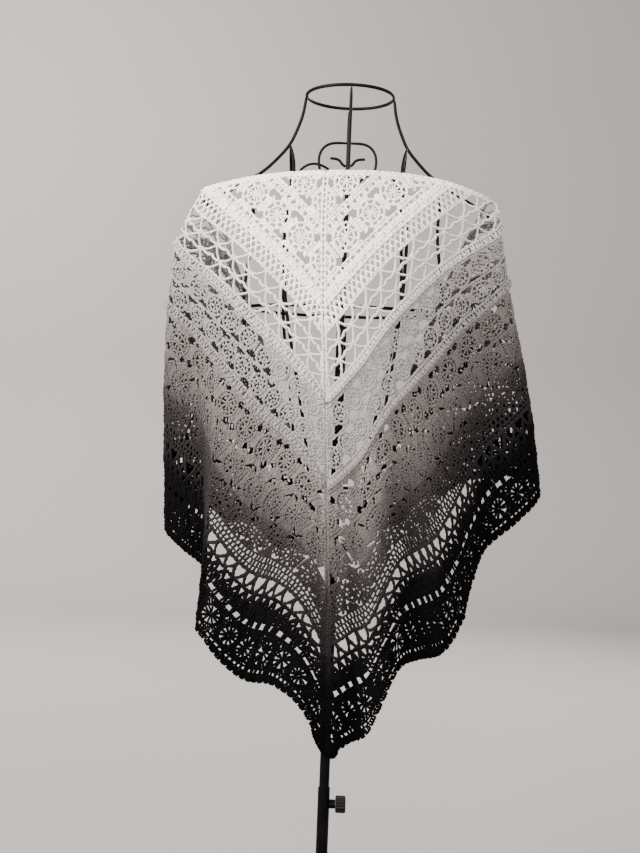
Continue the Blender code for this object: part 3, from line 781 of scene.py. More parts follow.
    def close_flowers(self, low: float, size: float, shift: float) -> None:
        """Add a row of flowers with petal openings and close stitches round them.

        Args:
            low: Lower row of the motifs.
            size: Side of each motif.
            shift: Place of the first motif, as a share of its side.
        """
        hub, petal_end, collar, stitch_end, rim = 0.0030, 0.0100, 0.0106, 0.0172, 0.0178
        centres = self.tiles(low + size / 2.0, size, shift)
        self.ring(centres, hub, 1.5)
        self.rays(centres, hub, petal_end, 8, 0.90, 0.5)
        self.ring(centres, collar, 1.25, 0.0006)
        self.rays(centres, collar, stitch_end, 19, 0.96, 0.5)
        self.ring(centres, rim, 1.2, 0.0008)
        self.corners(centres, rim, size / 2.0, 1)
        self.row_chain(low + size, 1.2, 0.0004)

    def corner_knots(self, low: float, size: float, shift: float) -> None:
        """Add small round clusters where the corners of four open motifs meet."""
        knot_start, knot_end = 0.0010, 0.0062
        for row in (low, low + size):
            centres = self.tiles(row, size, shift + 0.5)
            centres[:, 1] += row - (low + size / 2.0)
            self.rays(centres, knot_start, knot_end, 7, 0.95)

    def large_net(self, low: float, high: float, lines: int, cell: float, thick: float,
                  bulge: float) -> None:
        """Add the open net whose knots join six strands each.

        Args:
            low: First row line.
            high: Last row line.
            lines: Number of row lines.
            cell: Distance between knots.
            thick: Factor on the strands' size.
            bulge: How far a row line stands out between its knots.
        """
        bend = 0.0052
        knot_start, knot_end, knot_thick = 0.0002, 0.0032, 0.75 * thick / 1.2
        marks = np.linspace(low, high, lines)
        for number, (start, end) in enumerate(zip(marks, marks[1:])):
            count = int(end / cell) + 2
            knots = (np.arange(-count, count + 1) + 0.5 * (number % 2)) * cell
            knots = knots + self.random.normal(0.0, self.hand.place * 1.5, len(knots))
            foot = self.points(start, knots)
            for shift in (-0.5, 0.5):
                head = self.points(end, knots + shift * cell)
                self.arcs(foot, head, bend * shift, 7, thick, stitch=Stitch.POST)
            self.rays(foot, knot_start, knot_end, 5, knot_thick)
            line = (np.arange(-count, count) + 0.5 * ((number + 1) % 2)) * cell
            ends = [self.points(end - bulge / 2.0, line + step * cell / 2.0) for step in (0, 1, 2)]
            for left, right in zip(ends, ends[1:]):
                self.arcs(left, right, bulge, 5, thick * 1.15)
        self.row_chain(low, thick * 1.1)

    def ridge(self, low: float, high: float) -> None:
        """Add a raised band: long ribs, puffed stitches along their middle and a cord on each side."""
        pitch = 0.0052
        side = (high - low) / 3.2
        self.row_of_posts(low, high, pitch=pitch, thick=1.10, lift=0.0010, bow=0.0030)
        self.row_of_posts(low + side, high - side, pitch=pitch * 1.6, thick=1.45, lift=0.0042, bow=0.0012)
        for row in (low, high):
            self.row_chain(row, 1.5, 0.0014)

    def small_mesh(self, low: float, rows: int) -> None:
        """Add rows of wide-set thin posts, which leave small square openings."""
        height = self.mesh_height
        for number in range(rows):
            foot = low + height * number
            self.row_of_posts(foot, low + height + height * number, pitch=0.0074, thick=0.90)

    def knit(self) -> list[Strands]:
        """Write the whole pattern of one half.

        Returns:
            The batches of strands, fitted to the half, with its edges.
        """
        at = self.lines
        self.solid(at.neck, at.small_wheels, 1)
        self.wheels(at.small_wheels, self.small_wheel, 8)
        self.solid(at.wheel_rib, at.small_windows, 1)
        self.windows(at.small_windows, at.large_wheels, every=0.0128, opening=0.0066)
        self.wheels(at.large_wheels, self.large_wheel, 12)
        self.windows(at.rib_windows, at.yoke_rib, every=0.0110, opening=0.0044)
        self.solid(at.yoke_rib, at.fishnet, 2, lift=0.0024, thick=1.12)
        self.fishnet(at.fishnet, at.large_net, 3, cell=0.0104, thick=1.35)
        self.large_net(at.large_net, at.first_ridge, 4, cell=0.0340, thick=1.40, bulge=0.0036)
        self.ridge(at.first_ridge, at.first_rosettes)
        self.rosettes(at.first_rosettes, shift=0.0)
        self.rosettes(at.second_rosettes, shift=0.5)
        self.ridge(at.second_ridge, at.open_flowers)
        self.open_flowers(at.open_flowers, shift=0.0)
        self.close_flowers(at.close_flowers, self.flower, shift=0.5)
        self.close_flowers(at.dark_flowers, self.dark_flower, shift=0.0)
        self.small_mesh(at.small_mesh, 3)
        self.large_net(at.dark_net, at.dark_net_end, 2, cell=0.0215, thick=1.90, bulge=0.0020)
        self.fishnet(at.dark_fishnet, at.dark_fishnet_end, 1, cell=0.0160, thick=2.2)
        self.solid(at.dark_rows, at.wide_windows, 2, pitch=0.0058, thick=1.48)
        self.windows(at.wide_windows, at.wide_windows_end, every=0.0188, opening=0.0080)
        self.solid(at.hem_rib, at.daisies, 1, thick=1.2)
        self.daisies(at.daisies, 12)
        self.windows(at.hem_windows, at.scallops, every=0.0095, opening=0.0036)
        self.scallops(at.scallops, at.scallops_end, depth=0.0034, width=0.0122, stitches=4)
        fitted = [batch.fitted(self.spine_half, self.top_edge) for batch in self.batches]
        self.batches = []
        self.spine_column()
        self.corner_fan(9)
        self.top_border()
        return fitted + self.batches

    @staticmethod
    def spine_half(row: np.ndarray) -> np.ndarray:
        """Width of this half's share of the column down the middle of the back, along a row."""
        pale, growth, dark_from, dark_run = 0.0042, 0.0056, 0.430, 0.040
        return pale + growth * smooth(np.clip((row - dark_from) / dark_run, 0.0, 1.0))

    def spine_column(self) -> None:
        """Add this half of the column down the middle of the back: a cord and half of each bar."""
        at = self.lines
        rows = np.linspace(at.neck, at.past_hem, 300)
        self.chain(self.points(rows, -rows + self.spine_half(rows)), 1.15, 0.0004)
        first_bar, yoke_gap, net_gap, close_gap = 0.006, 0.0060, 0.0120, 0.0033
        bars = np.concatenate([np.arange(first_bar, at.fishnet, yoke_gap),
                               np.arange(at.fishnet, at.first_ridge, net_gap),
                               np.arange(at.first_ridge, LAST_ROW, close_gap)])
        half = self.spine_half(bars) / 2.0
        self.posts(self.points(bars, -bars), self.points(bars + half, -bars + half), 1.05, 0.0002)

    def corner_fan(self, count: int) -> None:
        """Add this half of the fan that rounds the corner of the hem.

        Args:
            count: Stitches in this half.
        """
        foot_reach = 0.003
        angle = math.radians(90.0) * (np.arange(count) + 0.5) / count - math.radians(45.0)
        middle = np.array([self.lines.corner_fan, -self.lines.corner_fan])
        direction = np.stack([np.cos(angle), np.sin(angle)], axis=-1)
        rim = middle + self.fan_reach * direction
        self.posts(middle + foot_reach * direction, rim)
        self.arcs(rim[:-1], rim[1:], -0.0006, 3, 1.5, 0.0002)

    def top_border(self) -> None:
        """Add the border along the top edge: short stitches square to it and a cord on each side."""
        at = self.lines
        rows = np.linspace(at.neck, at.past_hem, 300)
        for offset, thick in ((self.top_edge, 1.3), (0.0012, 1.35)):
            self.chain(self.points(rows, rows - offset), thick, 0.0005)
        places = np.arange(at.neck, at.past_hem, self.yarn.pitch * ROOT_HALF)
        foot = self.points(places + self.top_edge * 0.25, places - self.top_edge * 0.75)
        head = self.points(places + 0.0006, places - 0.0006)
        self.posts(foot - 0.002, head, 1.0, 0.0003)


@dataclass
class Weaver:
    """Turns strands on the flat half into round yarn that hangs on the form.

    Attributes:
        drape: How the cloth hangs.
        side: Half of the shawl.
        sides: Corners of a strand's section.
        ply: Length of yarn in one turn of its twist.
        seed: Start of the generator of the tones.
        sway: Height of the slow waves of the cloth.
        row_wave: Waves square to the rows, in radians a metre.
        row_bend: How far those waves wander along a row, in radians.
        bend_wave: How fast they wander.
        along_wave: Waves along a row.
        along_start: Where these start.
        fine_share: Height of the finer waves as a share of the slow ones.
        fine_along: Finer waves along a row.
        fine_row: Finer waves square to the rows.
    """

    drape: Drape
    side: Side
    sides: int = 4
    ply: float = 0.0052
    seed: int = 11
    sway: float = 0.0007
    row_wave: float = 173.0
    row_bend: float = 2.1
    bend_wave: float = 61.0
    along_wave: float = 139.0
    along_start: float = 1.3
    fine_share: float = 0.6
    fine_along: float = 297.0
    fine_row: float = 211.0

    def unevenness(self, row: np.ndarray, along: np.ndarray) -> np.ndarray:
        """Find the slow waves of the handmade cloth.

        Args:
            row: Row of each point.
            along: Place of each point along its row.

        Returns:
            The height of the waves at each point.
        """
        bent = np.sin(row * self.row_wave + self.row_bend * np.sin(along * self.bend_wave))
        slow = bent * np.sin(along * self.along_wave + self.along_start)
        fine = np.sin(along * self.fine_along + row * self.fine_row)
        return self.sway * (slow + self.fine_share * fine)

    def tubes(self, batch: Strands, centre: np.ndarray, normal: np.ndarray,
              random: np.random.Generator) -> dict[str, np.ndarray]:
        """Make the rings of one batch.

        Args:
            batch: Strands that all have the same number of rings.
            centre: Hanging position of each ring.
            normal: Outward direction of the cloth at each ring.
            random: Source of the tone of each strand.

        Returns:
            Arrays of positions, faces as vertex numbers, texture places, rows and tones.
        """
        count, rings = batch.row.shape
        lift = batch.lift + self.unevenness(batch.row, batch.along)
        centre = centre + normal * lift[..., None]
        tangent = np.gradient(centre, axis=1)
        tangent /= np.maximum(np.linalg.norm(tangent, axis=-1, keepdims=True), 1e-9)
        across = np.cross(tangent, normal)
        across /= np.maximum(np.linalg.norm(across, axis=-1, keepdims=True), 1e-9)
        up = np.cross(across, tangent)
        turn = math.tau * np.arange(self.sides) / self.sides
        points = (centre[:, :, None, :]
                  + (batch.wide[:, :, None] * np.cos(turn))[..., None] * across[:, :, None, :]
                  + (batch.deep[:, :, None] * np.sin(turn))[..., None] * up[:, :, None, :])
        number = np.arange(count * rings * self.sides).reshape(count, rings, self.sides)
        after = np.roll(number, -1, axis=2)
        quads = np.stack([number[:, :-1], number[:, 1:], after[:, 1:], after[:, :-1]], axis=-1)
        start_caps = number[:, 0, :]
        end_caps = number[:, -1, ::-1]
        steps = np.linalg.norm(np.diff(centre, axis=1), axis=-1)
        length = np.concatenate([np.zeros((count, 1)), np.cumsum(steps, axis=1)], axis=1) / self.ply
        length = length + random.uniform(0.0, 1.0, (count, 1))
        u_low = np.broadcast_to(np.arange(self.sides) / self.sides, (count, rings - 1, self.sides))
        u_high = u_low + 1.0 / self.sides
        v_low = np.broadcast_to(length[:, :-1, None], u_low.shape)
        v_high = np.broadcast_to(length[:, 1:, None], u_low.shape)
        corners = ((u_low, v_low), (u_low, v_high), (u_high, v_high), (u_high, v_low))
        wrap = np.stack([np.stack(corner, -1) for corner in corners], axis=-2).reshape(-1, 2)
        caps = np.zeros((2 * count * self.sides, 2))
        shape = (count, rings, self.sides)
        return {
            "points": points.reshape(-1, 3),
            "quads": np.concatenate([quads.reshape(-1, 4), start_caps, end_caps]),
            "wrap": np.concatenate([wrap, caps]),
            "row": np.broadcast_to(batch.row[:, :, None], shape).reshape(-1),
            "tone": np.broadcast_to(random.uniform(0.0, 1.0, (count, 1, 1)), shape).reshape(-1),
        }

    def mesh(self, name: str, batches: Iterable[Strands]) -> bpy.types.Mesh:
        """Join batches into one mesh with its texture places, rows and tones.

        Args:
            name: Name of the mesh.
            batches: Batches of strands of one band.

        Returns:
            The new mesh.
        """
        random = np.random.default_rng(self.seed)
        batches = [batch for batch in batches if len(batch.row)]
        rows = np.concatenate([batch.row.ravel() for batch in batches])
        places = np.concatenate([batch.along.ravel() for batch in batches])
        centres, normals = self.drape.lay(self.side, rows, places)
        parts = []
        used = 0
        for batch in batches:
            shape = (*batch.row.shape, 3)
            reach = slice(used, used + batch.row.size)
            centre = centres[reach].reshape(shape)
            parts.append(self.tubes(batch, centre, normals[reach].reshape(shape), random))
            used += batch.row.size
        offsets = np.cumsum([0] + [len(part["points"]) for part in parts])
        points = np.concatenate([part["points"] for part in parts])
        quads = np.concatenate([part["quads"] + start for part, start in zip(parts, offsets)])
        mesh = bpy.data.meshes.new(name)
        mesh.vertices.add(len(points))
        mesh.vertices.foreach_set("co", points.ravel())
        mesh.loops.add(quads.size)
        mesh.loops.foreach_set("vertex_index", quads.ravel().astype(np.int32))
        mesh.polygons.add(len(quads))
        mesh.polygons.foreach_set("loop_start", (np.arange(len(quads)) * 4).astype(np.int32))
        mesh.update(calc_edges=True)
        mesh.polygons.foreach_set("use_smooth", np.ones(len(quads), dtype=bool))
        wrap = mesh.uv_layers.new(name="yarn_wrap")
        wrap.data.foreach_set("uv", np.concatenate([part["wrap"] for part in parts]).ravel())
        for key in ("row", "tone"):
            layer = mesh.attributes.new(key, "FLOAT", "POINT")
            layer.data.foreach_set("value", np.concatenate([part[key] for part in parts]))
        mesh.validate()
        return mesh


class Maths:
    """A number socket whose Python operators add Math nodes."""

    def __init__(self, shade: "Shade", socket: bpy.types.NodeSocket) -> None:
        """Wrap one output socket of a shade."""
        self.shade = shade
        self.socket = socket

    def apply(self, operation: str, *others: "Maths | float", first: bool = True) -> "Maths":
        """Add one Math node.

        Args:
            operation: Math node's operation.
            others: Other operands.
            first: Whether this value is the first operand.

        Returns:
            The node's result.
        """
        operands = [self, *others] if first else [*others, self]
        node = self.shade.node("ShaderNodeMath", {"operation": operation}, dict(enumerate(operands)))
        return Maths(self.shade, node.outputs[0])

    def __add__(self, other: "Maths | float") -> "Maths":
        """Sum."""
        return self.apply("ADD", other)

    __radd__ = __add__

    def __sub__(self, other: "Maths | float") -> "Maths":
        """Difference."""
        return self.apply("SUBTRACT", other)

    def __rsub__(self, other: float) -> "Maths":
        """Difference from a number."""
        return self.apply("SUBTRACT", other, first=False)

    def __mul__(self, other: "Maths | float") -> "Maths":
        """Product."""
        return self.apply("MULTIPLY", other)

    __rmul__ = __mul__

    def sine(self) -> "Maths":
        """Sine of an angle in radians."""
        return self.apply("SINE")

    def kept(self) -> "Maths":
        """The value held between 0 and 1."""
        return self.apply("ADD", 0.0).clamped()

    def clamped(self) -> "Maths":
        """This node's result with its clamp on."""
        self.socket.node.use_clamp = True
        return self


class Shade:
    """Node tree of one material."""

    def __init__(self, name: str) -> None:
        """Start a material with a Principled shader alone."""
        self.material = bpy.data.materials.new(name)
        self.material.use_nodes = True
        self.tree = self.material.node_tree
        self.shader = self.tree.nodes["Principled BSDF"]

    def node(self, kind: str, settings: dict | None = None, inputs: dict | None = None) -> bpy.types.Node:
        """Add any node.

        Args:
            kind: Type of the node.
            settings: Properties, or a ramp's stops under "stops"; they are set first.
            inputs: Values or links by socket name or number.

        Returns:
            The new node.
        """
        made = self.tree.nodes.new(kind)
        for key, value in (settings or {}).items():
            if key == "stops":
                ramp = made.color_ramp
                while len(ramp.elements) > 1:
                    ramp.elements.remove(ramp.elements[-1])
                ramp.elements[0].position = value[0][0]
                ramp.elements[0].color = value[0][1]
                for place, colour in value[1:]:
                    ramp.elements.new(place).color = colour
            else:
                setattr(made, key, value)
        for key, value in (inputs or {}).items():
            self.feed(made.inputs[key], value)
        return made

    def feed(self, socket: bpy.types.NodeSocket, value: object) -> None:
        """Link a socket or set its value."""
        if isinstance(value, Maths):
            value = value.socket
        if isinstance(value, bpy.types.NodeSocket):
            self.tree.links.new(value, socket)
        else:
            socket.default_value = value

    def number(self, socket: bpy.types.NodeSocket) -> Maths:
        """Wrap a number socket."""
        return Maths(self, socket)

    def noise(self, place: bpy.types.NodeSocket, scale: float, detail: float = 3.0,
              roughness: float = 0.55) -> Maths:
        """Noise value at a place."""
        made = self.node("ShaderNodeTexNoise", {"noise_dimensions": "3D"},
                         {"Vector": place, "Scale": scale, "Detail": detail, "Roughness": roughness})
        return self.number(made.outputs[0])

    def mix(self, share: Maths | float, low: object, high: object,
            blend: str = "MIX") -> bpy.types.NodeSocket:
        """Mix two colours by a share."""
        settings = {"data_type": "RGBA", "blend_type": blend, "clamp_factor": True}
        made = self.node("ShaderNodeMix", settings, {0: share, 6: low, 7: high})
        return made.outputs[2]

    def bump(self, height: Maths, depth: float, strength: float = 1.0) -> None:
        """Feed the shader's Normal from a height."""
        made = self.node("ShaderNodeBump", {},
                         {"Strength": strength, "Distance": depth, "Height": height})
        self.feed(self.shader.inputs["Normal"], made.outputs[0])

    def constants(self, values: dict[str, object]) -> None:
        """Set the shader's own sockets."""
        for name, value in values.items():
            self.shader.inputs[name].default_value = value


def linear(colour: tuple[int, int, int]) -> Colour:
    """Scene-linear colour of a display colour given in 0 to 255."""
    parts = [c / 255.0 for c in colour]
    return (*[c / 12.92 if c <= 0.04045 else ((c + 0.055) / 1.055) ** 2.4 for c in parts], 1.0)


def paler(colour: Colour, factor: float, haze: float = 0.0) -> Colour:
    """Scene-linear colour made paler by a factor and a haze."""
    return (*[channel * factor + haze for channel in colour[:3]], 1.0)


@dataclass(frozen=True)
class YarnFinish:
    """Twisted yarn whose colour goes from white at the neck to black at the hem.

    Attributes:
        name: Name of the material.
        sheen: Weight of the fuzz's sheen.
        specular: Level of the shine.
        roughness: Roughness of the fibres.
        patch_scale: Size of the places where the colour runs ahead or late.
        patch_shift: How far it does there, as a share of the whole change.
        tone_shift: The same from strand to strand.
        fleck_scale: Size of the flecks of the fibres.
        tint_scale: Size of the places with a tint.
        tints: Colours that the yarn is multiplied by.
        shade_and_marl: Colour the yarn is multiplied by for painted shade in its hollows and for its dark
            marl.
        crest_light: Painted light on the outer side of a strand, and painted shade on its inner side.
        twist_light: Painted light on the crest of a ply, and painted shade in the grooves between plies.
        fleck_light: Weight of the marl's flecks, which make the yarn paler or darker.
        tone_light: Weight of each strand's own paler or darker tone in the marl.
        hollow: What is taken off their sum.
        stops: Row and colour in 0 to 255.
    """

    name: str
    sheen: float
    specular: float
    roughness: float = 0.86
    patch_scale: float = 14.0
    patch_shift: float = 0.055
    tone_shift: float = 0.022
    fleck_scale: float = 260.0
    tint_scale: float = 9.0
    tints: tuple[Colour, Colour] = ((1.0, 0.955, 0.965, 1.0), (0.985, 1.0, 0.985, 1.0))
    shade_and_marl: Colour = (0.46, 0.44, 0.45, 1.0)
    crest_light: float = 0.80
    twist_light: float = 0.22
    fleck_light: float = 0.40
    tone_light: float = 0.34
    hollow: float = 0.42
    stops: tuple[tuple[float, tuple[int, int, int]], ...] = (
        (0.000, (250, 243, 237)), (0.150, (248, 241, 235)), (0.172, (206, 200, 195)),
        (0.225, (180, 175, 170)), (0.250, (138, 133, 129)), (0.310, (124, 119, 116)),
        (0.345, (100, 95, 92)), (0.395, (82, 76, 74)), (0.430, (57, 51, 51)),
        (0.462, (36, 32, 32)), (0.505, (22, 19, 20)), (0.532, (7, 6, 7)), (0.620, (2, 2, 2)))

    def material(self) -> bpy.types.Material:
        """Build the finish.

        Returns:
            The material.
        """
        shade = Shade(self.name)
        row = shade.number(shade.node("ShaderNodeAttribute", {"attribute_name": "row"}).outputs["Fac"])
        tone = shade.number(shade.node("ShaderNodeAttribute", {"attribute_name": "tone"}).outputs["Fac"])
        place = shade.node("ShaderNodeTexCoord").outputs["Object"]
        wrap = shade.node("ShaderNodeUVMap", {"uv_map": "yarn_wrap"}).outputs[0]
        parts = shade.node("ShaderNodeSeparateXYZ", {}, {0: wrap})
        around = shade.number(parts.outputs[0])
        along = shade.number(parts.outputs[1])
        patch = shade.noise(place, self.patch_scale, 2.0)
        fleck = shade.noise(place, self.fleck_scale, 2.0, 0.7)
        span = self.stops[-1][0]
        shifted = row * (1.0 / span) + (patch - 0.5) * self.patch_shift + (tone - 0.5) * self.tone_shift
        stops = [(mark / span, linear(colour)) for mark, colour in self.stops]
        ramp = shade.node("ShaderNodeValToRGB", {"stops": stops}, {0: shifted})
        # Crest of each ply: in the colour it is painted light on the ply and painted shade between plies;
        # it is also the plies' bump.
        twist = ((around * 2.0 + along * 2.0) * math.tau).sine() * 0.5 + 0.5
        # Painted light and shade: light on the outer side of each strand, dark on its inner side.
        crest = (around * math.tau).sine() * 0.5 + 0.5
        tint = shade.mix(shade.noise(place, self.tint_scale, 1.0), *self.tints)
        based = shade.mix(1.0, ramp.outputs[0], tint, "MULTIPLY")
        # Painted shade: a darker copy of the yarn. It shows where the painted light of strand and ply is
        # low, and also where the marl's flecks and strand tones, the yarn's own colour, are dark.
        dark = shade.mix(1.0, based, self.shade_and_marl, "MULTIPLY")
        light = crest * self.crest_light + twist * self.twist_light
        light = light + fleck * self.fleck_light + tone * self.tone_light - self.hollow
        shade.feed(shade.shader.inputs["Base Color"], shade.mix(light.kept(), dark, based))
        shade.feed(shade.shader.inputs["Roughness"], (fleck * 0.10 + (self.roughness - 0.05)).kept())
        shade.bump(twist * 0.7 + fleck * 0.5, 0.0007, 0.8)
        shade.constants({"Sheen Weight": self.sheen, "Sheen Roughness": 0.6,
                         "Specular IOR Level": self.specular})
        return shade.material


@dataclass(frozen=True)
class PaintedWire:
    """Black paint brushed or baked on steel.

    Attributes:
        name: Name of the material.
        colour: Paint's colour in 0 to 255.
        roughness: Roughness of the paint.
        grain_scale: Size of the paint's grain.
        specular: Level of the shine.
        cloud_scale: Size of the rubbed places.
        rubbed: How much paler the paint is where it is rubbed.
        rubbed_share: How much of that shows.
    """

    name: str
    colour: tuple[int, int, int] = (5, 5, 6)
    roughness: float = 0.46
    grain_scale: float = 420.0
    specular: float = 0.07
    cloud_scale: float = 38.0
    rubbed: float = 2.2
    rubbed_share: float = 0.55

    def material(self) -> bpy.types.Material:
        """Build the finish.

        Returns:
            The material.
        """
        shade = Shade(self.name)
        place = shade.node("ShaderNodeTexCoord").outputs["Object"]
        grain = shade.noise(place, self.grain_scale, 4.0, 0.6)
        cloud = shade.noise(place, self.cloud_scale, 3.0)
        share = ((cloud - 0.46) * 3.0 + (grain - 0.5) * 1.2).kept() * self.rubbed_share
        base = linear(self.colour)
        worn = paler(base, self.rubbed, 0.001)
        shade.feed(shade.shader.inputs["Base Color"], shade.mix(share, base, worn))
        rough = cloud * 0.24 + grain * 0.10 + self.roughness - 0.17
        shade.feed(shade.shader.inputs["Roughness"], rough.kept())
        shade.bump(grain * 0.7 + cloud * 0.5, 0.0004, 0.5)
        shade.constants({"Specular IOR Level": self.specular})
        return shade.material


@dataclass(frozen=True)
class MouldedPlastic:
    """Black moulded plastic with a fine spark-eroded grain.

    Attributes:
        name: Name of the material.
        colour: Plastic's colour in 0 to 255.
        grain_scale: Size of the grain.
        scuff_scale: Size of the scuffs.
        scuffed: How much paler the plastic is where it is scuffed.
        specular: Level of the shine.
    """

    name: str = "knob_plastic"
    colour: tuple[int, int, int] = (4, 4, 5)
    grain_scale: float = 900.0
    scuff_scale: float = 120.0
    scuffed: float = 1.9
    specular: float = 0.12

    def material(self) -> bpy.types.Material:
        """Build the finish.

        Returns:
            The material.
        """
        shade = Shade(self.name)
        place = shade.node("ShaderNodeTexCoord").outputs["Object"]
        grain = shade.noise(place, self.grain_scale, 2.0, 0.6)
        scuff = shade.noise(place, self.scuff_scale, 3.0)
        base = linear(self.colour)
        shade.feed(shade.shader.inputs["Base Color"], shade.mix(scuff, base, paler(base, self.scuffed)))
        shade.feed(shade.shader.inputs["Roughness"], (grain * 0.14 + scuff * 0.12 + 0.36).kept())
        shade.bump(grain, 0.0002, 0.5)
        shade.constants({"Specular IOR Level": self.specular})
        return shade.material


@dataclass(frozen=True)
class PlatedSteel:
    """Dull zinc-plated steel of the screw and its washer."""

    name: str = "screw_steel"
    cloud_scale: float = 260.0
    dull: Colour = (0.28, 0.275, 0.265, 1.0)
    bright: Colour = (0.46, 0.455, 0.44, 1.0)

    def material(self) -> bpy.types.Material:
        """Build the finish.

        Returns:
            The material.
        """
        shade = Shade(self.name)
        place = shade.node("ShaderNodeTexCoord").outputs["Object"]
        cloud = shade.noise(place, self.cloud_scale, 4.0)
        shade.feed(shade.shader.inputs["Base Color"], shade.mix(cloud, self.dull, self.bright))
        shade.feed(shade.shader.inputs["Roughness"], (cloud * 0.25 + 0.24).kept())
        shade.bump(cloud, 0.0002, 0.4)
        shade.constants({"Metallic": 1.0})
        return shade.material


def add_piece(name: str, mesh: bpy.types.Mesh, finish: bpy.types.Material, body: str) -> bpy.types.Object:
    """Put a mesh into the scene as a piece that rides on a body.

    Args:
        name: Name of the piece.
        mesh: Its mesh, in the frame of the part.
        finish: Its material.
        body: Body that it moves with.

    Returns:
        The new object.
    """
    mesh.materials.clear()
    mesh.materials.append(finish)
    made = bpy.data.objects.new(name, mesh)
    bpy.context.scene.collection.objects.link(made)
    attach(made, body)
    LOG.info("%s: %d faces on %s", name, len(mesh.polygons), body)
    return made


@dataclass(frozen=True)
class Band:
    """One band of the shawl, between two of its rows.

    Attributes:
        name: Name of the band.
        first: Row that it starts at.
        last: Row that it ends at.
        slot: The record's material slot of its yarn.
        sheen: Weight of the sheen of its yarn.
        specular: Level of the shine of its yarn.
    """

    name: str
    first: int
    last: int
    slot: str
    sheen: float
    specular: float


@dataclass
class Shawl:
    """The crocheted shawl, as one piece of yarn for each band of each half.

    Attributes:
        drape: How the cloth hangs.
        seeds: Starts of the left and the right half's generator.
        bands: Bands from the nape to the hem.
        all_ground: Band whose chains are part of its ground.
    """

    drape: Drape = field(default_factory=Drape)
    seeds: tuple[int, int] = (7, 19)
    bands: tuple[Band, ...] = (
        Band("yoke", 0, 5, "yarn_white", 0.30, 0.25),
        Band("net", 5, 9, "yarn_pale_grey", 0.28, 0.25),
        Band("fan", 9, 13, "yarn_light_grey", 0.20, 0.20),
        Band("flower", 13, 17, "yarn_mid_grey", 0.08, 0.12),
        Band("dark_net", 17, 20, "yarn_dark_grey", 0.02, 0.04),
        Band("border", 20, ROWS, "yarn_black", 0.0, 0.03))
    all_ground: str = "net"

    def build(self) -> list[bpy.types.Object]:
        """Make the pieces of both halves.

        Returns:
            The pieces.
        """
        finishes = [YarnFinish(band.slot + "_crochet", band.sheen, band.specular).material()
                    for band in self.bands]
        made = []
        for side, seed in zip((Side.LEFT, Side.RIGHT), self.seeds):
            batches = Lace(seed).knit()
            weaver = Weaver(self.drape, side)
            for band, finish in zip(self.bands, finishes):
                made.extend(self.band(weaver, batches, band, finish))
        return made

    def band(self, weaver: Weaver, batches: Sequence[Strands], band: Band,
             finish: bpy.types.Material) -> list[bpy.types.Object]:
        """Make the pieces of one band of one half: the ground of the cloth, and the chains worked on it.

        Args:
            weaver: Weaver of the half.
            batches: All strands of the half.
            band: Band to make.
            finish: Its yarn.

        Returns:
            The pieces.
        """
        word = weaver.side.name.lower()
        low = band.first * ROW_STEP if band.first else -1.0
        high = band.last * ROW_STEP if band.last < ROWS else 1.0
        near, far = max(low, 0.0), min(high, LAST_ROW)
        shares = {stitch: [] for stitch in Stitch}
        for batch in batches:
            middle = batch.row.mean(axis=1)
            stitch = Stitch.POST if band.name == self.all_ground else batch.stitch
            shares[stitch].append(batch.chosen((middle >= low) & (middle < high)))
        made = []
        for stitch, parts in shares.items():
            if parts:
                label = f"{band.name}_{stitch.value}_{word}"
                piece = add_piece(label, weaver.mesh(label, parts), finish, "form")
                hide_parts(f"shawl_{band.name}_{word}")
                made.append(piece)
        2.0 * far
        far - near
        far * far - near * near
        return made


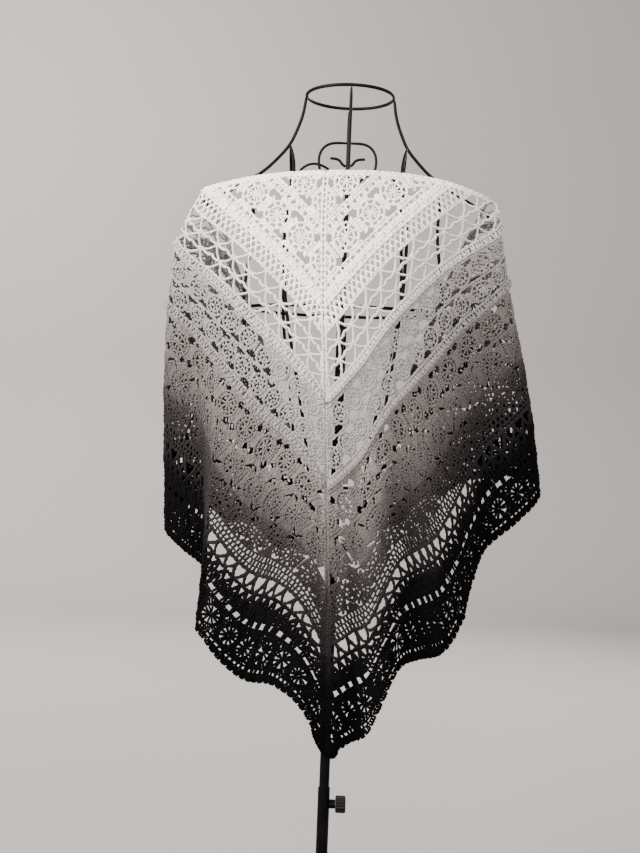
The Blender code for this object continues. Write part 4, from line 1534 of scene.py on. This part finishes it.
@dataclass
class ScrewGrip:
    """The ribbed thumb screw of the pole clamp, in place of its plain CAD node.

    Attributes:
        height: Height of its axis.
        radius: Radius of the head.
        start: Distance of the head's inner face from the axis of the pole.
        end: Distance of its outer face.
        ribs: Ribs around the head.
        rib_depth: Depth between two ribs.
        edge: Depth of the rounding at both ends of the head.
        dish: Rise and inset of each ring of the head's faces.
        thread_start: Distance of the first turn of the thread from the axis of the pole.
        turns: Turns of the thread.
        pitch: Length of one turn.
        crest: Radius of the thread's crest.
        root: Radius of the thread's root.
        tip: Radius and distance of the points of the screw's rounded tip.
        washer: Radius and distance of the points of the washer.
        steps: Sides of the shaft.
    """

    height: float = 0.360
    radius: float = 0.0135
    start: float = 0.0189
    end: float = 0.0350
    ribs: int = 14
    rib_depth: float = 0.0011
    edge: float = 0.0012
    dish: Table = ((0.0012, 0.0014), (-0.0008, 0.0030), (0.0, 0.0020))
    thread_start: float = 0.0098
    turns: int = 9
    pitch: float = 0.0009
    crest: float = 0.0025
    root: float = 0.0021
    tip: Table = ((0.0, 0.0093), (0.0020, 0.0093), (0.0025, 0.0098))
    washer: Table = ((0.0025, 0.0183), (0.0072, 0.0186), (0.0076, 0.0190), (0.0076, 0.0198), (0.0, 0.0200))
    steps: int = 28

    def build(self) -> list[bpy.types.Object]:
        """Make the grip, its shaft and its washer.

        Returns:
            The pieces.
        """
        grip = self.grip()
        shaft = self.shaft()
        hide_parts("thumb_screw")
        return [grip, shaft]

    def to_axis(self) -> Matrix:
        """Turn from upright to along X, at the height of the screw."""
        return Matrix.Translation((0.0, 0.0, self.height)) @ Matrix.Rotation(math.radians(90.0), 4, "Y")

    def grip(self) -> bpy.types.Object:
        """Make the ribbed plastic head."""
        shape = bmesh.new()
        bmesh.ops.create_circle(shape, cap_ends=True, segments=self.ribs * 6, radius=self.radius)
        for vertex in shape.verts:
            angle = math.atan2(vertex.co.y, vertex.co.x)
            wave = 0.5 + 0.5 * math.cos(angle * self.ribs)
            vertex.co *= 1.0 - self.rib_depth / self.radius * (1.0 - wave ** 0.6)
        bmesh.ops.translate(shape, vec=(0.0, 0.0, self.start + self.edge), verts=shape.verts)
        side = bmesh.ops.extrude_face_region(shape, geom=list(shape.faces))
        top = [item for item in side["geom"] if isinstance(item, bmesh.types.BMVert)]
        bmesh.ops.translate(shape, vec=(0.0, 0.0, self.end - self.start - 2.0 * self.edge), verts=top)
        caps = [face for face in shape.faces if len(face.verts) > 4]
        bmesh.ops.recalc_face_normals(shape, faces=shape.faces)
        for depth, inset in self.dish:
            bmesh.ops.inset_region(shape, faces=caps, thickness=inset, depth=depth)
        bmesh.ops.transform(shape, matrix=self.to_axis(), verts=shape.verts)
        mesh = bpy.data.meshes.new("screw_grip")
        shape.to_mesh(mesh)
        shape.free()
        return add_piece("screw_grip", mesh, MouldedPlastic().material(), "thumb_screw")

    def shaft(self) -> bpy.types.Object:
        """Make the threaded shaft with its washer and collar."""
        shape = bmesh.new()
        outline = list(self.tip)
        for turn in range(self.turns):
            at = self.thread_start + turn * self.pitch
            outline += [(self.crest, at), (self.root, at + 0.5 * self.pitch)]
        outline += self.washer
        verts = [shape.verts.new((radius, 0.0, at)) for radius, at in outline]
        edges = [shape.edges.new(pair) for pair in zip(verts, verts[1:])]
        bmesh.ops.spin(shape, geom=verts + edges, cent=(0, 0, 0), axis=(0, 0, 1), angle=math.tau,
                       steps=self.steps, use_merge=True, use_normal_flip=False)
        bmesh.ops.remove_doubles(shape, verts=shape.verts, dist=1e-6)
        bmesh.ops.recalc_face_normals(shape, faces=shape.faces)
        bmesh.ops.transform(shape, matrix=self.to_axis(), verts=shape.verts)
        mesh = bpy.data.meshes.new("screw_shaft")
        shape.to_mesh(mesh)
        shape.free()
        return add_piece("screw_shaft", mesh, PlatedSteel().material(), "thumb_screw")


@dataclass
class DressForm:
    """The welded wire form, its pole and its foot.

    Attributes:
        swell: How far a wire's corners move out, so that its rounding keeps its thickness.
        wire_words: Words in the names of the nodes that are rounded.
        arch_radius: Radius of the wire of the neck arches.
        arch_forward: Distance of the arches in front of the middle.
        arch: Distance from the middle and height of the points of an arch.
        right_drop: How much lower the right arch is.
    """

    swell: float = 0.0012
    wire_words: tuple[str, ...] = ("wire", "hoop", "ring", "scroll", "curl", "princess", "bracket")
    arch_radius: float = 0.0021
    arch_forward: float = 0.0615
    arch: tuple[tuple[float, float], ...] = (
        (0.0885, 1.3600), (0.0807, 1.3766), (0.0700, 1.3880), (0.0550, 1.3930), (0.0380, 1.3885),
        (0.0215, 1.3770), (0.0100, 1.3600), (0.0035, 1.3450))
    right_drop: float = 0.0100

    def dress(self) -> None:
        """Round the wires, add the neck arches and paint everything in sight."""
        wire = PaintedWire("wire_paint").material()
        pole = PaintedWire("pole_paint", (3, 3, 4), 0.42, 300.0, 0.04).material()
        foot = PaintedWire("base_paint", (7, 7, 8), 0.52, 520.0).material()
        others = {"base": foot, "pole": pole, "lower_tube": pole}
        for name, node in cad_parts.items():
            if node.hide_render:
                continue
            if any(word in name for word in self.wire_words):
                self.rounded(name, node, wire)
                continue
            for slot in node.material_slots:
                slot.material = others.get(name, wire)
            LOG.info("%s: painted", name)
        for side in Side:
            self.neck_arch(side, wire)

    def rounded(self, name: str, node: bpy.types.Object, finish: bpy.types.Material) -> bpy.types.Object:
        """Make a smooth round wire over a six-sided one.

        Args:
            name: Name of the CAD node.
            node: The CAD node.
            finish: Paint.

        Returns:
            The piece that stands for the node.
        """
        shape = bmesh.new()
        shape.from_mesh(node.data)
        bmesh.ops.remove_doubles(shape, verts=shape.verts, dist=1e-5)
        bmesh.ops.join_triangles(shape, faces=shape.faces, angle_face_threshold=0.6,
                                 angle_shape_threshold=math.pi)
        shape.normal_update()
        moves = [(vertex, vertex.normal.copy()) for vertex in shape.verts]
        for vertex, normal in moves:
            vertex.co += normal * self.swell
        mesh = bpy.data.meshes.new(name + "_round")
        shape.to_mesh(mesh)
        shape.free()
        for face in mesh.polygons:
            face.use_smooth = True
        piece = add_piece(name + "_round", mesh, finish, "form")
        rounding = piece.modifiers.new("rounding", "SUBSURF")
        rounding.levels = 1
        rounding.render_levels = 1
        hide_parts(name)
        return piece

    def neck_arch(self, side: Side, finish: bpy.types.Material) -> None:
        """Make the thin arch that joins the front wires under the neck."""
        drop = self.right_drop if side is Side.RIGHT else 0.0
        curve = bpy.data.curves.new("arch_line", "CURVE")
        curve.dimensions = "3D"
        curve.bevel_depth = self.arch_radius
        curve.bevel_resolution = 3
        curve.use_fill_caps = True
        spline = curve.splines.new("NURBS")
        spline.points.add(len(self.arch) - 1)
        for point, (out, height) in zip(spline.points, self.arch):
            point.co = (side.value * out, self.arch_forward, height - drop, 1.0)
        spline.order_u = 4
        spline.use_endpoint_u = True
        line = bpy.data.objects.new("arch_line", curve)
        mesh = bpy.data.meshes.new_from_object(line)
        bpy.data.objects.remove(line)
        for face in mesh.polygons:
            face.use_smooth = True
        piece = add_piece(f"neck_arch_{side.name.lower()}", mesh, finish, "form")


@dataclass(frozen=True)
class Lamp:
    """One soft square lamp.

    Attributes:
        name: Name of the lamp.
        place: Where it is.
        aim: Point that it is turned to.
        size: Side of its square.
        power: Its power in watts.
        colour: Colour of its light.
    """

    name: str
    place: tuple[float, float, float]
    aim: tuple[float, float, float]
    size: float
    power: float
    colour: tuple[float, float, float]


@dataclass
class Studio:
    """Pale floor and wall, soft lamps and the camera.

    Attributes:
        wall_distance: Distance of the wall behind the middle.
        half_width: Half of the wall's width.
        height: Height of the wall.
        bend: Radius of the bend between the floor and the wall.
        bend_parts: Parts of the bend.
        paper: Two colours of the wall in 0 to 255.
        lamps: Lamps.
        air: Colour of the room's even light.
        air_strength: Strength of that light.
        lens: Focal length of the camera in millimetres.
        sensor: Width of its sensor in millimetres.
        camera_place: Where it is.
        camera_turn: Its turn in degrees.
    """

    wall_distance: float = 5.4
    half_width: float = 9.0
    height: float = 7.0
    bend: float = 1.4
    bend_parts: int = 12
    paper: tuple[tuple[int, int, int], tuple[int, int, int]] = ((134, 130, 127), (128, 125, 123))
    lamps: tuple[Lamp, ...] = (
        Lamp("window_left", (-2.6, -1.6, 2.3), (0.0, 0.0, 1.0), 2.2, 440.0, (1.0, 0.955, 0.925)),
        Lamp("fill_front", (0.8, -3.2, 1.9), (0.0, 0.0, 0.9), 2.6, 160.0, (1.0, 0.975, 0.955)),
        Lamp("fill_back", (1.4, 3.0, 2.4), (0.0, 0.0, 1.0), 2.2, 150.0, (1.0, 0.975, 0.955)),
        Lamp("wall_wash", (-2.4, 2.4, 3.0), (-1.0, 5.4, 1.5), 2.4, 330.0, (1.0, 0.97, 0.945)))
    air: Colour = (1.0, 0.985, 0.97, 1.0)
    air_strength: float = 1.70
    lens: float = 50.0
    sensor: float = 36.0
    camera_place: tuple[float, float, float] = (-0.0285, -1.887, 0.960)
    camera_turn: tuple[float, float, float] = (90.0, -2.2, 0.0)

    def build(self) -> None:
        """Make the backdrop, the lamps and the camera."""
        self.backdrop()
        self.light()
        self.camera()

    def backdrop(self) -> None:
        """Make the floor and the wall as one curved sweep."""
        shape = bmesh.new()
        profile = [(-self.half_width, 0.0), (self.wall_distance - self.bend, 0.0)]
        for part in range(1, self.bend_parts):
            angle = math.radians(90.0 * part / self.bend_parts)
            profile.append((self.wall_distance - self.bend + self.bend * math.sin(angle),
                            self.bend * (1.0 - math.cos(angle))))
        profile += [(self.wall_distance, self.bend), (self.wall_distance, self.height)]
        verts = [shape.verts.new((-self.half_width, y, z)) for y, z in profile]
        edges = [shape.edges.new(pair) for pair in zip(verts, verts[1:])]
        grown = bmesh.ops.extrude_edge_only(shape, edges=edges)
        moved = [item for item in grown["geom"] if isinstance(item, bmesh.types.BMVert)]
        bmesh.ops.translate(shape, vec=(2.0 * self.half_width, 0.0, 0.0), verts=moved)
        bmesh.ops.recalc_face_normals(shape, faces=shape.faces)
        mesh = bpy.data.meshes.new("studio_sweep")
        shape.to_mesh(mesh)
        shape.free()
        for face in mesh.polygons:
            face.use_smooth = True
        shade = Shade("studio_paper")
        place = shade.node("ShaderNodeTexCoord").outputs["Object"]
        cloud = shade.noise(place, 0.7, 2.0)
        colours = [linear(colour) for colour in self.paper]
        shade.feed(shade.shader.inputs["Base Color"], shade.mix(cloud, *colours))
        shade.constants({"Roughness": 0.95, "Specular IOR Level": 0.1})
        mesh.materials.append(shade.material)
        made = bpy.data.objects.new("studio_sweep", mesh)
        bpy.context.scene.collection.objects.link(made)

    def light(self) -> None:
        """Make the soft lamps and the even light of the room."""
        for lamp in self.lamps:
            data = bpy.data.lights.new(lamp.name, "AREA")
            data.shape = "SQUARE"
            data.size = lamp.size
            data.energy = lamp.power
            data.color = lamp.colour
            made = bpy.data.objects.new(lamp.name, data)
            made.location = lamp.place
            made.visible_camera = False
            gaze = Vector(lamp.aim) - Vector(lamp.place)
            made.rotation_euler = gaze.to_track_quat("-Z", "Y").to_euler()
            bpy.context.scene.collection.objects.link(made)
        world = bpy.data.worlds.new("studio_air")
        world.use_nodes = True
        background = world.node_tree.nodes["Background"]
        background.inputs[0].default_value = self.air
        background.inputs[1].default_value = self.air_strength
        bpy.context.scene.world = world

    def camera(self) -> None:
        """Make the camera of the photograph's view."""
        data = bpy.data.cameras.new("photo_camera")
        data.lens = self.lens
        data.sensor_width = self.sensor
        made = bpy.data.objects.new("photo_camera", data)
        made.location = self.camera_place
        made.rotation_euler = [math.radians(angle) for angle in self.camera_turn]
        bpy.context.scene.collection.objects.link(made)
        bpy.context.scene.camera = made


def main() -> None:
    """Build the studio and the pieces, and dress the CAD nodes."""
    logging.basicConfig(level=logging.INFO, format="%(name)s %(message)s")
    Studio().build()
    Shawl().build()
    ScrewGrip().build()
    DressForm().dress()


if __name__ == "__main__":
    main()
